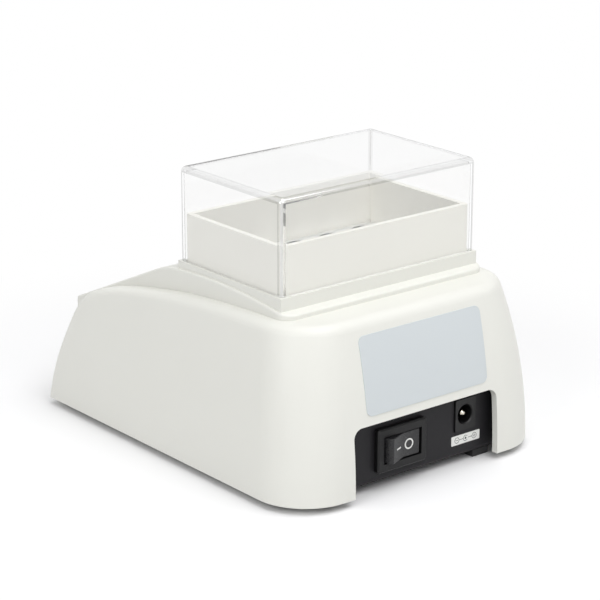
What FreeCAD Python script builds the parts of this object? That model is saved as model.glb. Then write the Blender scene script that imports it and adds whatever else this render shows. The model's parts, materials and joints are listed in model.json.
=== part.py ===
import FreeCAD, Part
import math
import os
import re
import Sketcher
from FreeCAD import Placement, Rotation, Vector

# Dry block heater: a bench heater for small sample tubes.
# Frame: +Z up, origin under the middle of the housing at floor level.
# The control panel faces -Y, the power inlet and the switch face +Y.
# Driving sizes, in millimetres and degrees: name, value, meaning.
SIZES = [
    ("housing_width", 110.2, "housing across its bottom edge"),
    ("housing_depth", 140.2, "housing front to rear along its bottom edge"),
    ("ground_gap", 2.5, "floor to the bottom edge of the housing"),
    ("housing_wall", 2.4, "wall of the moulded housing"),
    ("side_bow", 212, "radius of the side walls seen from the front"),
    ("rear_bow", 200, "radius of the rear wall seen from the side"),
    ("shoulder_rise", 56.6, "rear shoulder above the bottom edge"),
    ("corner_round", 19, "rear corners of the housing seen from above"),
    ("crest_round", 4.2, "rounding where the side walls turn into the top"),
    ("foot_round", 1, "the same rounding at the front foot"),
    ("hollow_corner", 12, "flat across the rear corners of the hollow"),
    ("hollow_bevel", 2, "flat along the upper edges of the hollow"),
    ("shin_run", 4.1, "front edge of the wings: set back at the shin height"),
    ("shin_rise", 14.7, "height of that point above the bottom edge"),
    ("lean_run", 10.3, "the same edge further up: set back at the lean height"),
    ("lean_rise", 29.5, "height of that point above the bottom edge"),
    ("brow_run", 17, "brow of the wings behind the front edge"),
    ("brow_rise", 40.6, "height of the brow"),
    ("arch_run", 31, "arch of the wings behind the front edge"),
    ("arch_rise", 46.8, "height of the wings there"),
    ("wing_run", 54.5, "middle of the wings behind the front edge"),
    ("wing_rise", 51.6, "height of the wings there"),
    ("back_run", 96, "rear stretch of the wings behind the front edge"),
    ("back_rise", 55.8, "height of the wings there"),
    ("spine_width", 86.4, "raised middle of the housing, across"),
    ("spine_rise", 59.7, "front end of the spine's top above the bottom edge"),
    ("spine_arch", 240, "radius of the spine's top seen from the side"),
    ("spine_drop", 1.5, "rear end of the spine's top below its front end"),
    ("spine_rear", 30.9, "rear edge of the spine behind the lid's middle"),
    ("spine_corner", 5, "rear corners of the spine seen from above"),
    ("spine_edge", 0.8, "edges of the spine"),
    ("nose_setback", 2.25, "front of the spine behind the front edge"),
    ("panel_slope", 24.2, "slope of the control panel, degrees"),
    ("panel_front_rise", 35.9, "front edge of the control panel above the bottom edge"),
    ("roll_over", 30, "rounding between the control panel and the flat top"),
    ("lid_offset", 18.85, "middle of the lid behind the middle of the housing"),
    ("lid_length", 83.2, "lid along X"),
    ("lid_width", 53.6, "lid along Y"),
    ("lid_height", 32.4, "lid from its rim to its top"),
    ("lid_wall", 1.55, "wall of the lid"),
    ("lid_round", 2.5, "outer edges of the lid"),
    ("ledge_margin", 0.45, "lid seat outside the lid, each side"),
    ("ledge_rise", 3.4, "lid seat above the flat top"),
    ("collar_gap", 0.35, "lid to collar, each side"),
    ("collar_wall", 2, "wall of the collar"),
    ("collar_corner", 1.2, "upright edges of the collar"),
    ("collar_rise", 16.4, "collar above the lid seat"),
    ("seat_gap", 0.3, "collar to the hole in the housing, each side"),
    ("flange_reach", 2.2, "flange of the collar outside it, front and rear"),
    ("flange_thick", 2, "thickness of that flange"),
    ("block_gap", 0.4, "block to collar, each side"),
    ("block_drop", 16, "top of the block below the rim of the collar"),
    ("block_height", 36, "height of the block"),
    ("block_bevel", 0.8, "bevel round the top of the block"),
    ("well_radius", 5.5, "wells for 1.5 ml tubes"),
    ("well_pitch", 14.4, "spacing of the wells"),
    ("well_depth", 30, "depth of a well"),
    ("plate_thick", 6, "heating plate"),
    ("film_length", 56, "film heater along X"),
    ("film_width", 31, "film heater along Y, between the rows of pillars"),
    ("film_thick", 0.8, "film heater"),
    ("pad_thick", 6, "insulating pad under the film heater"),
    ("probe_radius", 1.5, "temperature probe"),
    ("probe_length", 16, "temperature probe"),
    ("probe_depth", 12, "how far the probe sits in the plate"),
    ("probe_gap", 0.05, "probe to its hole, radius"),
    ("cutout_radius", 4, "thermal cut-out"),
    ("cutout_height", 4, "thermal cut-out"),
    ("cutout_gap", 1.5, "thermal cut-out beside the film heater"),
    ("pillar_inset_x", 5.7, "pillars under the plate inside its ends"),
    ("pillar_inset_y", 5.4, "pillars under the plate inside its long edges"),
    ("pillar_across", 6, "pillars, across their flats"),
    ("screw_radius", 1.5, "shank of the machine screws"),
    ("screw_gap", 0.1, "shank to its hole, radius"),
    ("screw_reach", 7, "how far a shank goes into a pillar or boss"),
    ("head_radius", 2.8, "head of the machine screws"),
    ("head_height", 1.8, "head of the machine screws"),
    ("tray_gap", 0.6, "tray to the housing wall"),
    ("tray_thick", 1.2, "sheet of the base tray"),
    ("tray_bend", 2, "outside radius of the bend of the tray"),
    ("tray_wall_height", 25.8, "rear wall of the tray"),
    ("tray_wall_width", 76, "rear wall of the tray"),
    ("tray_taper", 24, "sides of the tray draw in from this far ahead of the rear edge"),
    ("tray_front", 4.4, "front edge of the tray behind the front edge of the housing"),
    ("panel_setback", 5.75, "face of the rear panel inside the rear edge"),
    ("opening_width", 62, "opening in the rear wall of the housing"),
    ("opening_height", 23, "opening in the rear wall of the housing"),
    ("opening_round", 3.5, "upper corners of that opening"),
    ("foot_height", 2.7, "floor to the underside of the tray"),
    ("foot_side", 7.2, "rubber foot along each side"),
    ("foot_bevel", 0.5, "bevel of a foot at the floor"),
    ("foot_rear_side", 8, "rear feet inside the ends of the rear wall of the tray"),
    ("foot_rear_inset", 10.6, "rear feet ahead of the rear edge of the housing"),
    ("foot_front_side", 10, "front feet inside the sides of the tray"),
    ("foot_front_inset", 15, "front feet behind the front edge of the housing"),
    ("boss_front_side", 8.9, "front screw bosses inside the sides of the housing"),
    ("boss_front_inset", 29, "front screw bosses behind the front edge"),
    ("boss_rear_side", 13.1, "rear screw bosses inside the sides of the housing"),
    ("boss_rear_inset", 19, "rear screw bosses ahead of the rear edge"),
    ("boss_radius", 3.2, "screw bosses of the housing"),
    ("boss_top", 47, "top of the bosses above the bottom edge"),
    ("switch_x", 8, "middle of the switch"),
    ("switch_rise", 11.5, "middle of the switch above the bottom edge"),
    ("bezel_length", 21, "bezel of the switch along X"),
    ("bezel_height", 15, "bezel of the switch along Z"),
    ("bezel_proud", 2.2, "bezel of the switch outside the panel"),
    ("bezel_round", 1, "corners of the bezel"),
    ("switch_length", 19, "body of the switch along X"),
    ("switch_height", 12.8, "body of the switch along Z"),
    ("switch_depth", 13, "body of the switch behind the panel"),
    ("switch_gap", 0.2, "body of the switch to its hole in the panel"),
    ("window_length", 16.2, "window for the rocker along X"),
    ("window_height", 9.4, "window for the rocker along Z"),
    ("window_depth", 9, "window for the rocker behind the bezel's face"),
    ("rocker_gap", 0.3, "rocker to its window, each side"),
    ("rocker_pivot", 2.6, "pivot of the rocker behind the bezel's face"),
    ("rocker_pitch", 11, "each half of the rocker rises to its end by this angle"),
    ("rocker_sink", 0.2, "pressed half of the rocker below the bezel's face"),
    ("axle_radius", 1.1, "axle stubs of the rocker"),
    ("axle_length", 1.2, "axle stubs of the rocker"),
    ("axle_gap", 0.05, "axle stubs to their holes, radius"),
    ("blade_width", 4.8, "terminal blades of the switch"),
    ("blade_thick", 0.8, "terminal blades of the switch"),
    ("blade_length", 7, "terminal blades of the switch"),
    ("blade_pitch", 10, "spacing of the terminal blades"),
    ("jack_x", 21, "power inlet from the middle, towards -X"),
    ("jack_rise", 15, "middle of the power inlet above the bottom edge"),
    ("jack_width", 9, "power inlet along X"),
    ("jack_height", 11, "power inlet along Z"),
    ("jack_depth", 14, "power inlet behind its face"),
    ("jack_proud", 0.6, "face of the power inlet outside the panel"),
    ("jack_gap", 0.2, "power inlet to its hole in the panel"),
    ("jack_bore", 3.2, "socket of the power inlet, radius"),
    ("jack_bore_depth", 9.5, "socket of the power inlet"),
    ("jack_bore_edge", 0.4, "bevel round the mouth of that socket"),
    ("jack_round", 0.6, "corners of the power inlet"),
    ("pin_radius", 1, "centre pin of the power inlet"),
    ("pin_sink", 1, "tip of the centre pin behind the face"),
    ("tab_width", 2.2, "solder tabs of the power inlet"),
    ("tab_thick", 0.4, "solder tabs of the power inlet"),
    ("tab_drop", 3.2, "solder tabs below the power inlet"),
    ("inlet_board_length", 18, "inlet board along X"),
    ("inlet_board_width", 22, "inlet board along Y"),
    ("inlet_pillar_radius", 2.6, "pillars of the inlet board"),
    ("inlet_pillar_x", 6, "pillars of the inlet board from its middle"),
    ("inlet_pillar_y", 10.5, "pillars of the inlet board ahead of its middle"),
    ("board_thick", 1.6, "circuit boards"),
    ("board_length", 74, "control board along X"),
    ("board_width", 45, "control board along the slope"),
    ("board_start", 0.5, "lower edge of the control board up the slope"),
    ("board_drop", 8, "control board below the panel's inner face"),
    ("post_margin", 3.5, "posts from the edges of the control board"),
    ("post_radius", 3, "posts of the control board"),
    ("display_length", 46, "display window along X"),
    ("display_width", 17, "display window along the slope"),
    ("display_middle", 33, "middle of the display up the slope"),
    ("display_lip", 1.5, "ledge that carries the display window"),
    ("display_pane", 1.2, "display window"),
    ("display_gap", 0.1, "display window to its recess, each side"),
    ("digits_gap", 0.6, "display module below the panel's inner face"),
    ("key_length", 13, "keys along X"),
    ("key_width", 8, "keys along the slope"),
    ("key_pitch", 18, "spacing of the keys"),
    ("key_middle", 13, "middle of the keys up the slope"),
    ("key_proud", 0.4, "keys above the panel"),
    ("key_gap", 0.25, "keys to their holes, each side"),
    ("key_round", 1.6, "corners of the keys"),
    ("key_crown", 0.25, "upper edges of the keys"),
    ("key_travel", 0.8, "travel of the keys"),
    ("key_flange", 1, "flange that keeps a key in its hole: reach and thickness"),
    ("key_slack", 0.1, "flange of a key below the panel's inner face"),
    ("key_stem", 1.8, "stem of a key, radius"),
    ("tact_side", 6, "push switches on the control board"),
    ("tact_height", 3.4, "push switches on the control board"),
    ("plunger_radius", 1.7, "plunger of a push switch"),
    ("plunger_height", 1.4, "plunger of a push switch"),
]
KEYS = ("key_set", "key_down", "key_up", "key_start")
WELL_COLUMNS = 5
WELL_ROWS = 3

# Levels and places that follow from the sizes, as formulas.
FRONT = "(-housing_depth / 2)"
REAR = "(housing_depth / 2)"
SPINE_TOP = "(ground_gap + spine_rise)"
SPINE_BACK = "(%s - spine_drop)" % SPINE_TOP
SPINE_UNDER = "(%s - housing_wall)" % SPINE_BACK
SEAT = "(ground_gap + spine_rise + ledge_rise)"
RIM = "(ground_gap + spine_rise + ledge_rise + collar_rise)"
COLLAR_X = "(lid_length / 2 - lid_wall - collar_gap)"
COLLAR_Y = "(lid_width / 2 - lid_wall - collar_gap)"
BLOCK_X = "(%s - collar_wall - block_gap)" % COLLAR_X
BLOCK_Y = "(%s - collar_wall - block_gap)" % COLLAR_Y
BLOCK_BASE = "(%s - block_drop - block_height)" % RIM
PLATE_BASE = "(%s - plate_thick)" % BLOCK_BASE
FILM_BASE = "(%s - film_thick)" % PLATE_BASE
TRAY_TOP = "(foot_height + tray_thick)"
PANEL = "(%s - panel_setback)" % REAR
BEZEL = "(%s + bezel_proud)" % PANEL
SWITCH_Z = "(ground_gap + switch_rise)"
JACK_FACE = "(%s + jack_proud)" % PANEL
JACK_Z = "(ground_gap + jack_rise)"
INLET_TOP = "(%s - jack_height / 2)" % JACK_Z
INLET_Y = "(%s - jack_depth / 2)" % JACK_FACE
SHANK_HOLE = "(screw_radius + screw_gap)"
TRAY_SIDE = "(housing_width / 2 - housing_wall - tray_gap)"
NOSE_Y = "(%s + nose_setback)" % FRONT
NOSE_Z = "(ground_gap + panel_front_rise)"
BOARD_TOP = "(-housing_wall - board_drop)"
POST_ROWS = ("(board_start + post_margin)", "(board_start + board_width - post_margin)")

doc = FreeCAD.newDocument("dry_block_heater")
sheet = doc.addObject("Spreadsheet::Sheet", "sizes")
NAMES = {name for name, value, meaning in SIZES}
NODES = []


def fill_sheet():
    """Write the driving sizes into the sheet."""
    for row, (name, value, meaning) in enumerate(SIZES, 1):
        sheet.set("A%d" % row, meaning)
        sheet.set("B%d" % row, str(value))
        sheet.setAlias("B%d" % row, name)
    doc.recompute()


def bound(formula):
    """Point the size names in a formula at the sheet."""
    def link(word):
        return "sizes." + word[0] if word[0] in NAMES else word[0]
    return re.sub(r"[a-z]\w*", link, str(formula))


def size(formula):
    """The number that a formula stands for."""
    return float(sheet.evalExpression(bound(formula)))


def bind(thing, **formulas):
    """Bind properties of an object to formulas."""
    for prop, formula in formulas.items():
        thing.setExpression(prop.replace("__", "."), bound(formula))
    return thing


def place(thing, x="0", y="0", z="0", axis=None, angle=None):
    """Put an object at a place given by formulas, turned about an axis."""
    if axis:
        thing.Placement = Placement(Vector(), Rotation(Vector(*axis), 1))
        bind(thing, Placement__Rotation__Angle=angle)
    return bind(thing, Placement__Base__x=x, Placement__Base__y=y, Placement__Base__z=z)


def on_panel(thing):
    """Put an object on the sloped control panel: x across, y up the slope, z out of it."""
    return place(thing, "0", NOSE_Y, NOSE_Z, (1, 0, 0), "panel_slope")


def node(thing, label):
    """Name a finished sub-part."""
    thing.Label = label
    NODES.append(thing)
    return thing


def box(name, low, high):
    """A block between two corners."""
    solid = doc.addObject("Part::Box", name)
    sides = ["(%s) - (%s)" % (b, a) for a, b in zip(low, high)]
    bind(solid, Length=sides[0], Width=sides[1], Height=sides[2])
    return place(solid, *low)


TURNS = {"z": None, "y": ((1, 0, 0), "-90"), "x": ((0, 1, 0), "90")}


def cylinder(name, base, radius, length, axis="z"):
    """A cylinder from its base along +X, +Y or +Z."""
    solid = doc.addObject("Part::Cylinder", name)
    bind(solid, Radius=radius, Height=length)
    turn = TURNS[axis] or (None, None)
    return place(solid, *base, *turn)


def fuse(name, things):
    """Join objects into one."""
    solid = doc.addObject("Part::MultiFuse", name)
    solid.Shapes = things
    solid.Refine = True
    return solid


def cut(name, base, tools):
    """Take tools out of a base."""
    solid = doc.addObject("Part::Cut", name)
    solid.Base = base
    solid.Tool = tools[0] if len(tools) == 1 else fuse(name + "_tools", tools)
    return solid


def group(name, things):
    """Keep like pieces together as separate solids."""
    solids = doc.addObject("Part::Compound", name)
    solids.Links = things
    return solids


def new_body(name):
    """A body for sketched features."""
    return doc.addObject("PartDesign::Body", name)


def sketch(body, name, plane, offset="0"):
    """A sketch on one of the body's own planes, moved along the plane's normal."""
    drawing = body.newObject("Sketcher::SketchObject", body.Name + "_" + name)
    support = [item for item in body.Origin.OriginFeatures if item.Role == plane]
    drawing.AttachmentSupport = [(support[0], "")]
    drawing.MapMode = "FlatFace"
    return bind(drawing, AttachmentOffset__Base__z=offset)


def pin_point(drawing, edge, point, x, y):
    """Hold a point of a sketch edge (1 start, 2 end, 3 middle) at a place."""
    for kind, formula in (("DistanceX", x), ("DistanceY", y)):
        rule = Sketcher.Constraint(kind, -1, 1, edge, point, size(formula))
        index = drawing.addConstraint(rule)
        drawing.setExpression("Constraints[%d]" % index, bound(formula))


def arc_between(start, end, radius, bulge):
    """The short arc between two points that bulges to the right (1) or to the left (-1) of its way."""
    way = end - start
    across = Vector(-way.y, way.x, 0).normalize() * bulge
    middle = (start + end) / 2
    reach = math.sqrt(radius ** 2 - way.Length ** 2 / 4)
    return Part.Arc(start, middle - across * (radius - reach), end)


def polygon(drawing, corners):
    """A closed outline through corners as formulas: x, y and, where an arc follows, radius and bulge."""
    spots = [Vector(size(corner[0]), size(corner[1]), 0) for corner in corners]
    first = drawing.GeometryCount
    count = len(spots)
    for i, corner in enumerate(corners):
        start, end = spots[i], spots[(i + 1) % count]
        if len(corner) == 2:
            drawing.addGeometry(Part.LineSegment(start, end))
        else:
            drawing.addGeometry(arc_between(start, end, size(corner[2]), corner[3]))
    for i, corner in enumerate(corners):
        after = first + (i + 1) % count
        leaves = 1 if len(corner) > 2 and corner[3] < 0 else 2
        arrives = 2 if len(corners[(i + 1) % count]) > 2 and corners[(i + 1) % count][3] < 0 else 1
        drawing.addConstraint(Sketcher.Constraint("Coincident", first + i, leaves, after, arrives))
    for i, corner in enumerate(corners):
        turned = len(corner) > 2 and corner[3] < 0
        pin_point(drawing, first + i, 2 if turned else 1, corner[0], corner[1])
        if len(corner) > 2:
            rule = drawing.addConstraint(Sketcher.Constraint("Radius", first + i, size(corner[2])))
            drawing.setExpression("Constraints[%d]" % rule, bound(corner[2]))
    return drawing


def rectangle(drawing, x, y, half_x, half_y):
    """A closed rectangle about its middle."""
    low_x, high_x = "%s - (%s)" % (x, half_x), "%s + %s" % (x, half_x)
    low_y, high_y = "%s - (%s)" % (y, half_y), "%s + %s" % (y, half_y)
    return polygon(drawing, [(low_x, low_y), (high_x, low_y), (high_x, high_y), (low_x, high_y)])


def circle(drawing, x, y, radius):
    """A circle about its middle."""
    index = drawing.addGeometry(Part.Circle(Vector(size(x), size(y), 0), Vector(0, 0, 1), size(radius)))
    rule = drawing.addConstraint(Sketcher.Constraint("Radius", index, size(radius)))
    drawing.setExpression("Constraints[%d]" % rule, bound(radius))
    pin_point(drawing, index, 3, x, y)
    return drawing


def pad(body, name, drawing, length, reverse=False):
    """Raise a sketch along its normal."""
    feature = body.newObject("PartDesign::Pad", body.Name + "_" + name)
    feature.Profile = drawing
    feature.Reversed = reverse
    return bind(feature, Length=length)


def pocket(body, name, drawing, length, reverse=False):
    """Cut a sketch out of the body, against its normal."""
    doc.recompute()
    before = body.Shape.Volume
    feature = body.newObject("PartDesign::Pocket", body.Name + "_" + name)
    feature.Profile = drawing
    feature.Reversed = reverse
    bind(feature, Length=length)
    doc.recompute()
    if body.Shape.Volume >= before:
        raise RuntimeError("%s cuts nothing" % feature.Name)
    return feature


def dress_edges(body, kind, name, chosen):
    """A fillet or chamfer on the edges of a body that a test picks."""
    doc.recompute()
    base = body.Tip
    names = ["Edge%d" % i for i, edge in enumerate(base.Shape.Edges, 1) if chosen(edge)]
    feature = body.newObject("PartDesign::" + kind, body.Name + "_" + name)
    feature.Base = (base, names)
    return feature


def round_edges(body, name, radius, chosen):
    """Fillet the edges of a body that a test picks."""
    return bind(dress_edges(body, "Fillet", name, chosen), Radius=radius)


def bevel_edges(body, name, reach, chosen):
    """Chamfer the edges of a body that a test picks."""
    return bind(dress_edges(body, "Chamfer", name, chosen), Size=reach)


def ends(edge):
    """The end points of an edge."""
    return [vertex.Point for vertex in edge.Vertexes]


def upright(edge):
    """Whether a straight edge stands upright."""
    spots = ends(edge)
    return len(spots) == 2 and (spots[0] - spots[1]).cross(Vector(0, 0, 1)).Length < 1e-6


def level_at(edge, height):
    """Whether an edge lies at one height."""
    return all(abs(spot.z - height) < 1e-4 for spot in ends(edge))


# Upper housing: a moulded shell with bowed walls, wings and a raised spine.
# Points of the wing's outline, with the share of the wall that the hollow goes back and down at each.
WING_POINTS = (
    ("shin", 1, 0.2),
    ("lean", 1, 0.3),
    ("brow", 0.7, 0.7),
    ("arch", 0.4, 0.9),
    ("wing", 0.2, 1),
    ("back", 0, 1),
)


def bow(radius, rise):
    """How far a bowed wall has come in at a height."""
    return radius - math.sqrt(radius ** 2 - rise ** 2)


def side_outline(inset):
    """The housing seen from the side: front edge and wings in one curve, rear wall bowed."""
    base = size("ground_gap")
    front = size(FRONT) + inset
    rear = size(REAR) - inset
    top = size("shoulder_rise") - inset
    radius = size("rear_bow") - inset
    spots = [Vector(0, front, base)]
    for name, back, drop in WING_POINTS:
        run = size(name + "_run") + inset * (back - 1)
        rise = size(name + "_rise") - inset * drop
        spots.append(Vector(0, front + run, base + rise))
    spots.append(Vector(0, rear - bow(radius, top), base + top))
    wings = Part.BSplineCurve()
    wings.interpolate(Points=spots)
    halfway = Vector(0, rear - bow(radius, top / 2), base + top / 2)
    rear_foot = Vector(0, rear, base)
    wall = Part.Arc(spots[-1], halfway, rear_foot)
    return Part.Wire([wings.toShape(), wall.toShape(), Part.makeLine(rear_foot, spots[0])])


def front_outline(inset):
    """The housing seen from the front: bowed side walls."""
    base = size("ground_gap")
    half = size("housing_width / 2") - inset
    radius = size("side_bow") - inset
    top = size("spine_rise")
    sides = []
    for side in (-1, 1):
        heights = (0, top / 2, top)
        sides.append([Vector(side * (half - bow(radius, rise)), 0, base + rise) for rise in heights])
    left, right = sides
    edges = [Part.Arc(*left).toShape(), Part.Arc(*right).toShape()]
    edges += [Part.makeLine(left[0], right[0]), Part.makeLine(left[2], right[2])]
    return Part.Wire(Part.__sortEdges__(edges))


def bowed_form(name, inset, kind, corner, crest, foot):
    """The bowed body of the housing with rounded edges, or its hollow set in by the wall with flat ones."""
    width = size("housing_width")
    depth = size("housing_depth")
    across = Part.Face(side_outline(inset)).extrude(Vector(2 * width, 0, 0))
    across.translate(Vector(-width, 0, 0))
    along = Part.Face(front_outline(inset)).extrude(Vector(0, 2 * depth, 0))
    along.translate(Vector(0, -depth, 0))
    raw = doc.addObject("Part::Feature", name + "_raw")
    raw.Shape = across.common(along).Solids[0]
    corners = doc.addObject(kind, name + "_corners")
    corners.Base = raw
    reach = size(corner)
    corners.Edges = [(i, reach, reach) for i, edge in enumerate(raw.Shape.Edges, 1) if rear_corner(edge)]
    doc.recompute()
    finished = doc.addObject(kind, name + "_crest")
    finished.Base = corners
    finished.Edges = crest_edges(corners.Shape, size(crest), size(foot))
    return finished


def rear_corner(edge):
    """Whether an edge climbs a rear corner of the raw body."""
    spots = ends(edge)
    return all(spot.y > 0 for spot in spots) and abs(spots[0].z - spots[-1].z) > size("brow_rise")


def crest_edges(shape, radius, foot):
    """The edges round the top with their radii: small at the front foot, full from there on."""
    found = []
    low = size("ground_gap + lean_rise")
    for i, edge in enumerate(shape.Edges, 1):
        spots = ends(edge)
        climbs = spots[0].y * spots[-1].y < 0
        if climbs and max(spot.z for spot in spots) > low:
            starts_at_front = edge.firstVertex(True).Y < 0
            first, last = (foot, radius) if starts_at_front else (radius, foot)
            found.append((i, first, last))
        elif min(spot.z for spot in spots) > low:
            found.append((i, radius, radius))
    return found


def spine_form(name, inset, low):
    """The raised middle with the sloped control panel and an arched top, or its hollow with a flat one."""
    body = new_body(name)
    front = "(%s + %s)" % (NOSE_Y, inset)
    rear = "(lid_offset + spine_rear - %s)" % inset
    hollow = inset != "0"
    top = SPINE_UNDER if hollow else SPINE_TOP
    nose = "(%s + %s * tan(panel_slope) - %s / cos(panel_slope))" % (NOSE_Z, inset, inset)
    turn = "(%s + (%s - %s) / tan(panel_slope))" % (front, top, nose)
    half = "(spine_width / 2 - %s)" % inset
    drawing = sketch(body, "outline", "YZ_Plane", "-" + half)
    crown = (rear, top) if hollow else (rear, SPINE_BACK, "spine_arch", 1)
    polygon(drawing, [(front, low), (rear, low), crown, (turn, top), (front, nose)])
    pad(body, "pad", drawing, "2 * " + half)
    height = size(top)
    back = size(rear)
    round_edges(body, "roll", "roll_over - " + inset, lambda edge: level_at(edge, height)
                and all(abs(spot.y - size(turn)) < 1e-4 for spot in ends(edge)))
    round_edges(body, "corners", "spine_corner - " + inset, lambda edge: upright(edge)
                and abs(ends(edge)[0].y - back) < 1e-4)
    return body


def panel_cutters():
    """Holes in the control panel: display recess, display opening and key holes."""
    through = "(-2 * housing_wall)"
    pane = ("display_length / 2 + display_gap", "display_width / 2 + display_gap")
    view = ("display_length / 2 - display_lip", "display_width / 2 - display_lip")
    body = new_body("panel_holes")
    drawing = sketch(body, "view", "XY_Plane", through)
    rectangle(drawing, "0", "display_middle", "(%s)" % view[0], "(%s)" % view[1])
    for i in range(len(KEYS)):
        rectangle(drawing, key_x(i), "key_middle", "(key_length / 2 + key_gap)", "(key_width / 2 + key_gap)")
    pad(body, "through", drawing, "3 * housing_wall").AllowMultiFace = True
    recess = box("display_recess", ("-(%s)" % pane[0], "display_middle - (%s)" % pane[1], "-display_pane"),
                 (pane[0], "display_middle + (%s)" % pane[1], "housing_wall"))
    on_panel(body)
    holder = group("display_recess_placed", [recess])
    return [body, on_panel(holder)]


def key_x(i):
    """The middle of a key across the panel."""
    return "(%s * key_pitch)" % (i - (len(KEYS) - 1) / 2)


def upper_housing():
    """The white moulded shell, open below."""
    wall = size("housing_wall")
    below = "(ground_gap - housing_wall)"
    outer = bowed_form("bowed_body", 0, "Part::Fillet", "corner_round", "crest_round", "foot_round")
    bevel = "hollow_bevel"
    hollow = bowed_form("bowed_hollow", wall, "Part::Chamfer", "hollow_corner", bevel, bevel)
    spine = spine_form("spine", "0", "ground_gap")
    lid_front = size("lid_offset - lid_width / 2 - spine_corner")
    lowest = size(SPINE_BACK) - 1e-4
    round_edges(spine, "edges", "spine_edge", lambda edge: all(spot.z > lowest and spot.y > lid_front
                                                               for spot in ends(edge)))
    spine_hollow = spine_form("spine_hollow", "housing_wall", below)
    ledge_x = "(lid_length / 2 + ledge_margin)"
    ledge_y = "(lid_width / 2 + ledge_margin)"
    ledge = box("lid_seat", ("-" + ledge_x, "lid_offset - " + ledge_y, SPINE_UNDER),
                (ledge_x, "lid_offset + " + ledge_y, SEAT))
    solid = fuse("housing_outside", [outer, spine, ledge])
    hole_x = "(%s + seat_gap)" % COLLAR_X
    hole_y = "(%s + seat_gap)" % COLLAR_Y
    well = box("collar_hole", ("-" + hole_x, "lid_offset - " + hole_y, "0"),
               (hole_x, "lid_offset + " + hole_y, RIM))
    shell = cut("housing_shell", solid, [hollow, spine_hollow, well, rear_opening()] + panel_cutters())
    bosses = doc.addObject("Part::Common", "bosses_inside")
    bosses.Base = fuse("tray_bosses", tray_bosses())
    bosses.Tool = outer
    return node(fuse("upper_housing", [shell, bosses] + board_posts()), "upper_housing")


def rear_opening():
    """The opening in the rear wall, cut up from the bottom edge."""
    body = new_body("rear_opening")
    drawing = sketch(body, "outline", "XZ_Plane", "-%s - housing_wall" % REAR)
    half = "(opening_width / 2)"
    top = "(ground_gap + opening_height)"
    polygon(drawing, [("-" + half, "0"), (half, "0"), (half, top), ("-" + half, top)])
    pad(body, "pad", drawing, "panel_setback + 3 * housing_wall")
    height = size(top)
    round_edges(body, "corners", "opening_round", lambda edge: abs(edge.BoundBox.YLength) > 1
                and level_at(edge, height))
    return body


def tray_bosses():
    """Screw bosses of the shell that stand on the tray."""
    bosses = []
    for i, (x, y) in enumerate(boss_places()):
        base = (x, y, TRAY_TOP)
        post = cylinder("boss_%d" % i, base, "boss_radius", "ground_gap + boss_top - %s" % TRAY_TOP)
        hole = cylinder("boss_hole_%d" % i, base, SHANK_HOLE, "screw_reach + 1")
        bosses.append(cut("bored_boss_%d" % i, post, [hole]))
    return bosses


def boss_places():
    """The middles of the screw bosses."""
    places = []
    for side in ("-", ""):
        places.append((side + "(housing_width / 2 - boss_front_side)", "%s + boss_front_inset" % FRONT))
        places.append((side + "(housing_width / 2 - boss_rear_side)", "%s - boss_rear_inset" % REAR))
    return places


def board_posts():
    """Posts under the control panel that carry the control board."""
    posts = []
    for i, (x, y) in enumerate(post_places()):
        body = new_body("post_%d" % i)
        drawing = sketch(body, "outline", "XY_Plane", BOARD_TOP)
        circle(drawing, x, y, "post_radius")
        circle(drawing, x, y, SHANK_HOLE)
        pad(body, "pad", drawing, "board_drop + housing_wall / 4")
        posts.append(on_panel(body))
    return posts


def post_places():
    """The middles of the posts on the panel."""
    return [(side + "(board_length / 2 - post_margin)", y) for side in ("-", "") for y in POST_ROWS]


# Sample side: collar, lid, block and what heats it.
def frame_between(name, outer_x, outer_y, wall, low, high):
    """An upright four-sided wall about the lid's middle."""
    body = new_body(name)
    drawing = sketch(body, "plan", "XY_Plane", low)
    rectangle(drawing, "0", "lid_offset", outer_x, outer_y)
    rectangle(drawing, "0", "lid_offset", "(%s - %s)" % (outer_x, wall), "(%s - %s)" % (outer_y, wall))
    pad(body, "wall", drawing, "%s - %s" % (high, low))
    return body


def well_collar():
    """The white insulating collar: a thin wall round the block with a flange under the housing's top."""
    body = frame_between("collar", COLLAR_X, COLLAR_Y, "collar_wall", BLOCK_BASE, RIM)
    reach_y = "(%s + flange_reach)" % COLLAR_Y
    drawing = sketch(body, "flange_plan", "XY_Plane", "%s - flange_thick" % SPINE_UNDER)
    rectangle(drawing, "0", "lid_offset", COLLAR_X, reach_y)
    rectangle(drawing, "0", "lid_offset", "(%s - collar_wall)" % COLLAR_X, "(%s - collar_wall)" % COLLAR_Y)
    pad(body, "flange", drawing, "flange_thick")
    side_x, side_y = size(COLLAR_X), size(COLLAR_Y)
    middle = size("lid_offset")
    round_edges(body, "corners", "collar_corner", lambda edge: upright(edge)
                and abs(abs(ends(edge)[0].x) - side_x) < 1e-4
                and abs(abs(ends(edge)[0].y - middle) - side_y) < 1e-4)
    return node(body, "well_collar")


def clear_lid():
    """The clear lid: a moulded box, open below, that stands on the lid seat."""
    body = new_body("lid")
    half_x, half_y = "(lid_length / 2)", "(lid_width / 2)"
    rectangle(sketch(body, "plan", "XY_Plane", SEAT), "0", "lid_offset", half_x, half_y)
    pad(body, "box", body.Group[-1], "lid_height")
    top = size(SEAT + " + lid_height")
    round_edges(body, "edges", "lid_round", lambda edge: upright(edge) or level_at(edge, top))
    inside = sketch(body, "inside_plan", "XY_Plane", SEAT)
    rectangle(inside, "0", "lid_offset", half_x + " - lid_wall", half_y + " - lid_wall")
    pocket(body, "inside", inside, "lid_height - lid_wall", reverse=True)
    ceiling = size(SEAT + " + lid_height - lid_wall")
    inner_x = size(half_x + " - lid_wall")
    round_edges(body, "inner", "lid_round - lid_wall", lambda edge: level_at(edge, ceiling)
                or (upright(edge) and abs(abs(ends(edge)[0].x) - inner_x) < 1e-4))
    return node(body, "clear_lid")


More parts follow.
